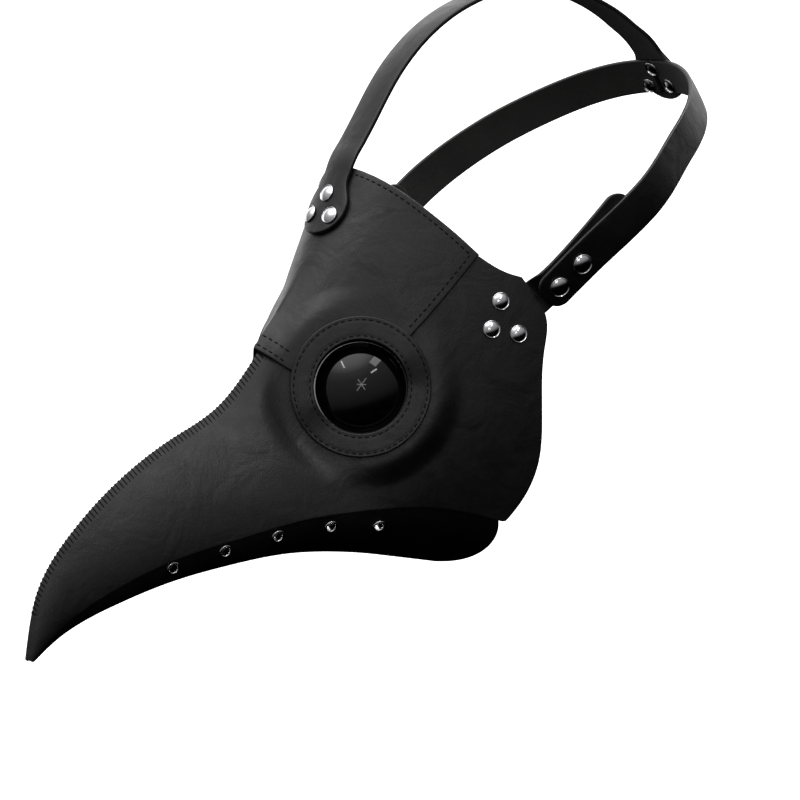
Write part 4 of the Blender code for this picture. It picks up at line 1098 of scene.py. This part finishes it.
# %% Snaps
snap_foot, snap_out = snap_places()
strap_top = STRAP_OVER_TAB + LEATHER
tab_top = TAB_ON_HEAD + LEATHER
socket = np.array([(0.0, strap_top + 0.6), (2.4, strap_top + 0.6), (2.4, tab_top + 1.2), (3.0, tab_top + 1.2),
                   (3.0, strap_top + 0.2)])
SNAP_CAP_PROFILE = np.concatenate([socket, cap(4.6, strap_top + 0.2, 2.0)])
STUD_PROFILE = np.concatenate([
    [(0.0, TAB_ON_HEAD - 1.3)], arc(2.7, TAB_ON_HEAD - 0.95, 0.35, -90, 90, 7),
    [(1.2, TAB_ON_HEAD - 0.6), (1.2, tab_top + 0.6)], arc(1.1, tab_top + 1.1, 0.45, -60, 80, 7),
    [(0.0, tab_top + 1.8)]])
for hand, flip in FLIPS.items():
    turned_piece(hand + "_snap_caps", SNAP_CAP_PROFILE, snap_foot * flip, snap_out * flip,
                 [f"{hand}_snap_cap_{k}" for k in (1, 2)], hand + "_strap")
    turned_piece(hand + "_snap_studs", STUD_PROFILE, snap_foot * flip, snap_out * flip,
                 [f"{hand}_snap_stud_{k}" for k in (1, 2)], hand + "_tab")

# %% [markdown]
# ## Stitching
# A running stitch is a short bridge of thread that dives into the leather at both ends.  Each is
# a thin tube of few faces along its own bit of seam, and all the stitches of a seam are one
# array: one axis for the stitch, one along it and one round it.


# %% Stitch makers
def thread_tubes(centre, side, out, radius):
    """Tubes round centre lines of shape (stitch, step, 3), pinched at both ends."""
    steps = centre.shape[1]
    taper = np.sqrt(np.clip(np.sin(np.linspace(0.03, math.pi - 0.03, steps)) * 2.2, 0, 1))
    angle = np.linspace(0, 2 * math.pi, 6, endpoint=False)
    circle = (np.cos(angle)[:, None] * side[:, :, None, :] + np.sin(angle)[:, None] * out[:, :, None, :])
    points = centre[:, :, None] + radius * taper[None, :, None, None] * circle
    ring = quads(steps, 6, wrap=True)
    caps = np.array([[0, 1, 2, 3], [0, 3, 4, 5]])
    one = np.concatenate([ring, caps[:, ::-1], caps + (steps - 1) * 6])
    faces = (np.arange(len(centre))[:, None, None] * steps * 6 + one[None]).reshape(-1, 4)
    return points.reshape(-1, 3), faces


def running_stitches(path, out, pitch=3.1, share=0.8, radius=0.34, closed=False):
    """Centre lines of stitches along a path: each covers a share of the pitch and humps up."""
    gone = np.concatenate([[0], np.cumsum(np.linalg.norm(np.diff(path, axis=0), axis=1))])
    count = int(gone[-1] / pitch)
    if not closed:
        count = max(1, int((gone[-1] - 1.0) / pitch))
    pitch = gone[-1] / count if closed else pitch
    along_one = np.linspace(0.0, 1.0, 6)
    at = (np.arange(count)[:, None] + (1 - share) / 2 + share * along_one[None]) * pitch
    place = np.stack([np.interp(at, gone, path[:, k]) for k in range(3)], -1)
    normal = unit(np.stack([np.interp(at, gone, out[:, k]) for k in range(3)], -1))
    hump = radius * (0.8 * np.sin(math.pi * along_one) ** 0.6 - 0.7)
    ahead = unit(np.gradient(place, axis=1))
    return thread_tubes(place + normal * hump[None, :, None], np.cross(normal, ahead), normal, radius)


def seam(name, parts):
    """Every stitch of a group of seams as one mesh, mirrored onto the other side as well."""
    points, faces, total = [], [], 0
    for more, more_faces in parts:
        for sheet in (more, mirror(more)):
            points.append(sheet)
            faces.append(more_faces + total)
            total += len(sheet)
    piece = put_mesh(name, np.concatenate(points), np.concatenate(faces), [THREAD], merge=1e-8)
    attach(piece, "mask")
    return piece


def inset_line(base, edge, distance, height, clear_of_eye=None, start=0.0, stop=1.0):
    """Points and normals on a panel a distance in from one edge, optionally clear of the eye."""
    along_len, down_len = side_lengths(skin(base[..., 0], base[..., 1]))
    f = np.linspace(start, stop, 400)
    if edge in ("first_row", "last_row"):
        s = distance / np.interp(f, np.linspace(0, 1, len(down_len)), down_len)
        s = s if edge == "first_row" else 1 - s
        uv = sample(base, s, f)
    else:
        t = distance / np.interp(f, np.linspace(0, 1, len(along_len)), along_len)
        t = t if edge == "first_col" else 1 - t
        uv = sample(base, f, t)
    place = raised(uv, np.full(len(uv), height))
    if clear_of_eye is not None:
        off = place - EYE
        off = off - (off @ EYE_NORMAL)[:, None] * EYE_NORMAL
        keep = np.linalg.norm(off, axis=1) > clear_of_eye
        place, uv = place[keep], uv[keep]
    return place, skin_normal(uv[:, 0], uv[:, 1])


# %% [markdown]
# The forehead panel has one row along the brow, one down each diagonal edge and two along the
# bridge; the eye ring has a row near each of its edges.

# %% Running seams
FOREHEAD_TOP = FOREHEAD_LOW + LEATHER
seam("brow_stitching",
     [running_stitches(*inset_line(FOREHEAD_BASE, "first_col", 3.0, FOREHEAD_TOP, stop=0.98))])
seam("diagonal_stitching", [running_stitches(*inset_line(FOREHEAD_BASE, "last_row", 3.2, FOREHEAD_TOP,
                                                         clear_of_eye=RING_OUTER + 0.4, start=0.03))])
seam("bridge_stitching", [running_stitches(*inset_line(FOREHEAD_BASE, "last_col", distance, FOREHEAD_TOP,
                                                       clear_of_eye=RING_OUTER + 0.4))
                          for distance in (1.9, 6.2)])
around = np.linspace(0, 2 * math.pi, 721)
seam("eye_ring_stitching", [
    running_stitches(on_ring(np.full(721, r), around, np.full(721, 0.3 + LEATHER - 0.22)),
                     np.broadcast_to(EYE_NORMAL, (721, 3)), closed=True) for r in STITCH_CIRCLES])

# %% [markdown]
# The two side panels meet edge to edge along the ridge of the beak and are whipped together:
# each stitch goes over the seam, from a hole up to 4.6 mm down one side to the same place on the
# other.  A stitch's centre line follows the skin across the ridge.

# %% Whip stitches
WHIP_PITCH = 2.15
WHIP_REACH = 4.6


def whip_stitches():
    """For evenly spaced places on the crest: a line over the ridge, pulled tight at its middle."""
    reach = np.linspace(HIDDEN_BRIDGE_REACH + 8.0, TIP_REACH - 14.0, 500)
    crest = skin(reach, np.zeros(500))
    gone = np.concatenate([[0], np.cumsum(np.linalg.norm(np.diff(crest, axis=0), axis=1))])
    count = int(gone[-1] / WHIP_PITCH)
    at = np.interp(np.arange(count) * WHIP_PITCH, gone, reach)
    width = np.linalg.norm(skin(at, np.full(count, 0.1)) - skin(at, np.zeros(count)), axis=1) / 0.1
    share = np.linspace(-1, 1, 13)
    reach_over = WHIP_REACH * (0.55 + 0.45 * smooth((TIP_REACH - at) / 70.0))
    drop = np.abs(share)[None] * (reach_over / width)[:, None]
    where = np.broadcast_to(at[:, None], drop.shape)
    sign = np.sign(share)[None, :, None] * np.array([1.0, 0, 0]) + np.array([0, 1.0, 1.0])
    place = skin(where, drop) * sign
    out = skin_normal(where, drop)
    out[:, 6, 0] = 0.0
    out = unit(out * sign)
    hump = -0.10 - 0.12 * share ** 4
    place = place + out * hump[None, :, None]
    ahead = unit(np.gradient(place, axis=1))
    return thread_tubes(place, np.cross(out, ahead), out, 0.36)


points, faces = whip_stitches()
whip = put_mesh("ridge_whip_stitching", points, faces, [THREAD], merge=1e-8)
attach(whip, "mask")

# %% [markdown]
# ## Floor, light and camera
# The mask is shown at head height over a pale floor, as if worn.  Black leather shows its shape
# only by what it reflects, so the light is a soft dome: dark below the horizon, dim at the sides
# and bright overhead, with white paper behind.  The forehead and the top of the beak then shine
# and the cheek falls into shade.  Small lamps put points of light in the lens and the metal.

# %% Where the camera stands
BACK = unit(np.array([0.766, -0.592, 0.2525]))
BOW = math.radians(20.0)  # the wearer's head is bowed, so the camera leans back by as much
RIGHT = np.array([0.6428, 0.7660 * math.cos(BOW), -0.7660 * math.sin(BOW)])
UP = np.cross(BACK, RIGHT)
DISTANCE = 2.1
LENS_MM = 206.0
aim = unit(-BACK - 0.0262 * RIGHT - 0.0454 * UP)
camera_data = bpy.data.cameras.new("camera")
camera_data.lens = LENS_MM
camera_data.sensor_width = 36.0
camera_data.clip_end = 60.0
camera = bpy.data.objects.new("camera", camera_data)
right = unit(np.cross(aim, UP))
turn = np.eye(4)
turn[:3, 0], turn[:3, 1], turn[:3, 2], turn[:3, 3] = right, np.cross(right, aim), -aim, BACK * DISTANCE
camera.matrix_world = Matrix(turn)
bpy.context.scene.collection.objects.link(camera)
bpy.context.scene.camera = camera
print("camera at", np.round(BACK * DISTANCE, 3))


# %% Lights
def softbox(name, direction, distance, width, height, power, roll=0.0):
    """A rectangular area light on a direction from the mask's middle, facing it, turned by roll."""
    data = bpy.data.lights.new(name, "AREA")
    data.shape = "RECTANGLE"
    data.size = width
    data.size_y = height
    data.energy = power
    lamp = bpy.data.objects.new(name, data)
    direction = unit(np.array(direction, float))
    middle = np.array([0.0, -0.12, -0.03])
    z = direction
    x = unit(np.cross([0.0, 0.0, 1.0] if abs(z[2]) < 0.98 else [0.0, 1.0, 0.0], z))
    place = np.eye(4)
    y = np.cross(z, x)
    c, k = math.cos(math.radians(roll)), math.sin(math.radians(roll))
    place[:3, 0], place[:3, 1], place[:3, 2] = c * x + k * y, c * y - k * x, z
    place[:3, 3] = middle + direction * distance
    lamp.matrix_world = Matrix(place)
    bpy.context.scene.collection.objects.link(lamp)
    return lamp


softbox("window_softbox", (0.61, 0.298, 0.734), 1.6, 0.50, 0.32, 1.7)
softbox("crown_softbox", (-0.05, 0.75, 0.66), 1.6, 0.60, 0.40, 6.0)
softbox("ceiling_bar", (0.793, 0.074, 0.605), 1.6, 0.34, 0.06, 0.7)
softbox("front_strip", (0.153, -0.384, 0.912), 1.6, 0.05, 0.40, 0.8, 35.0)
for roll, length in ((15.0, 0.60), (70.0, 0.42), (125.0, 0.75)):
    softbox("sparkle_lamp", (0.79, -0.43, 0.43), 1.6, 0.03, length, 0.30 * length / 0.6, roll)

# %% Floor and surroundings
world = bpy.data.worlds.new("studio")
bpy.context.scene.world = world
world.use_nodes = True
tree = world.node_tree
tree.nodes.clear()
output = tree.nodes.new("ShaderNodeOutputWorld")
seen = tree.nodes.new("ShaderNodeBackground")
seen.inputs["Color"].default_value = (1.0, 1.0, 1.0, 1.0)
seen.inputs["Strength"].default_value = 1.0
lighting = tree.nodes.new("ShaderNodeBackground")
lighting.inputs["Strength"].default_value = 3.0
direction = tree.nodes.new("ShaderNodeTexCoord")
height = tree.nodes.new("ShaderNodeSeparateXYZ")
level = tree.nodes.new("ShaderNodeMapRange")
level.inputs["From Min"].default_value = -1.0
dome = tree.nodes.new("ShaderNodeValToRGB")
SKY = ((-0.28, 0.0), (-0.17, 0.006), (-0.03, 0.045), (0.10, 0.07), (0.34, 0.10), (0.60, 0.135),
       (0.77, 0.24), (0.91, 0.70), (1.00, 0.87))
for k, (rise, glow) in enumerate(SKY):
    stop = dome.color_ramp.elements[k] if k < 2 else dome.color_ramp.elements.new((rise + 1) / 2)
    stop.position = (rise + 1) / 2
    stop.color = (glow, glow, glow, 1.0)
behind = tree.nodes.new("ShaderNodeVectorMath")
behind.operation = "DOT_PRODUCT"
behind.inputs[1].default_value = tuple(-BACK)
backdrop = tree.nodes.new("ShaderNodeMapRange")
backdrop.inputs["From Min"].default_value = 0.35
backdrop.inputs["From Max"].default_value = 0.8
above = tree.nodes.new("ShaderNodeMapRange")
above.inputs["From Min"].default_value = -0.40
above.inputs["From Max"].default_value = -0.02
above.inputs["To Max"].default_value = 0.42
paper = tree.nodes.new("ShaderNodeMath")
paper.operation = "MULTIPLY"
total = tree.nodes.new("ShaderNodeMath")
total.operation = "ADD"
tree.links.new(direction.outputs["Generated"], behind.inputs[0])
tree.links.new(behind.outputs["Value"], backdrop.inputs["Value"])
tree.links.new(backdrop.outputs["Result"], paper.inputs[0])
tree.links.new(above.outputs["Result"], paper.inputs[1])
tree.links.new(paper.outputs["Value"], total.inputs[0])
tree.links.new(dome.outputs["Color"], total.inputs[1])
mixed = tree.nodes.new("ShaderNodeMixShader")
path = tree.nodes.new("ShaderNodeLightPath")
tree.links.new(direction.outputs["Generated"], height.inputs["Vector"])
tree.links.new(height.outputs["Z"], level.inputs["Value"])
tree.links.new(height.outputs["Z"], above.inputs["Value"])
tree.links.new(level.outputs["Result"], dome.inputs["Fac"])
tree.links.new(total.outputs["Value"], lighting.inputs["Color"])
tree.links.new(path.outputs["Is Camera Ray"], mixed.inputs["Fac"])
tree.links.new(lighting.outputs["Background"], mixed.inputs[1])
tree.links.new(seen.outputs["Background"], mixed.inputs[2])
tree.links.new(mixed.outputs["Shader"], output.inputs["Surface"])

bpy.ops.mesh.primitive_plane_add(size=16.0, location=(0.0, 0.0, -1.55))
floor = bpy.context.object
floor.name = "pale_floor"
pale, tree, shader = new_finish("pale_floor_paint", (0.9, 0.9, 0.9), 0.8)
shader.inputs["Emission Color"].default_value = (1.0, 1.0, 1.0, 1.0)
shader.inputs["Emission Strength"].default_value = 0.9
floor.data.materials.append(pale)
floor.visible_glossy = False
floor.visible_diffuse = False
bpy.context.scene.view_settings.view_transform = "Standard"
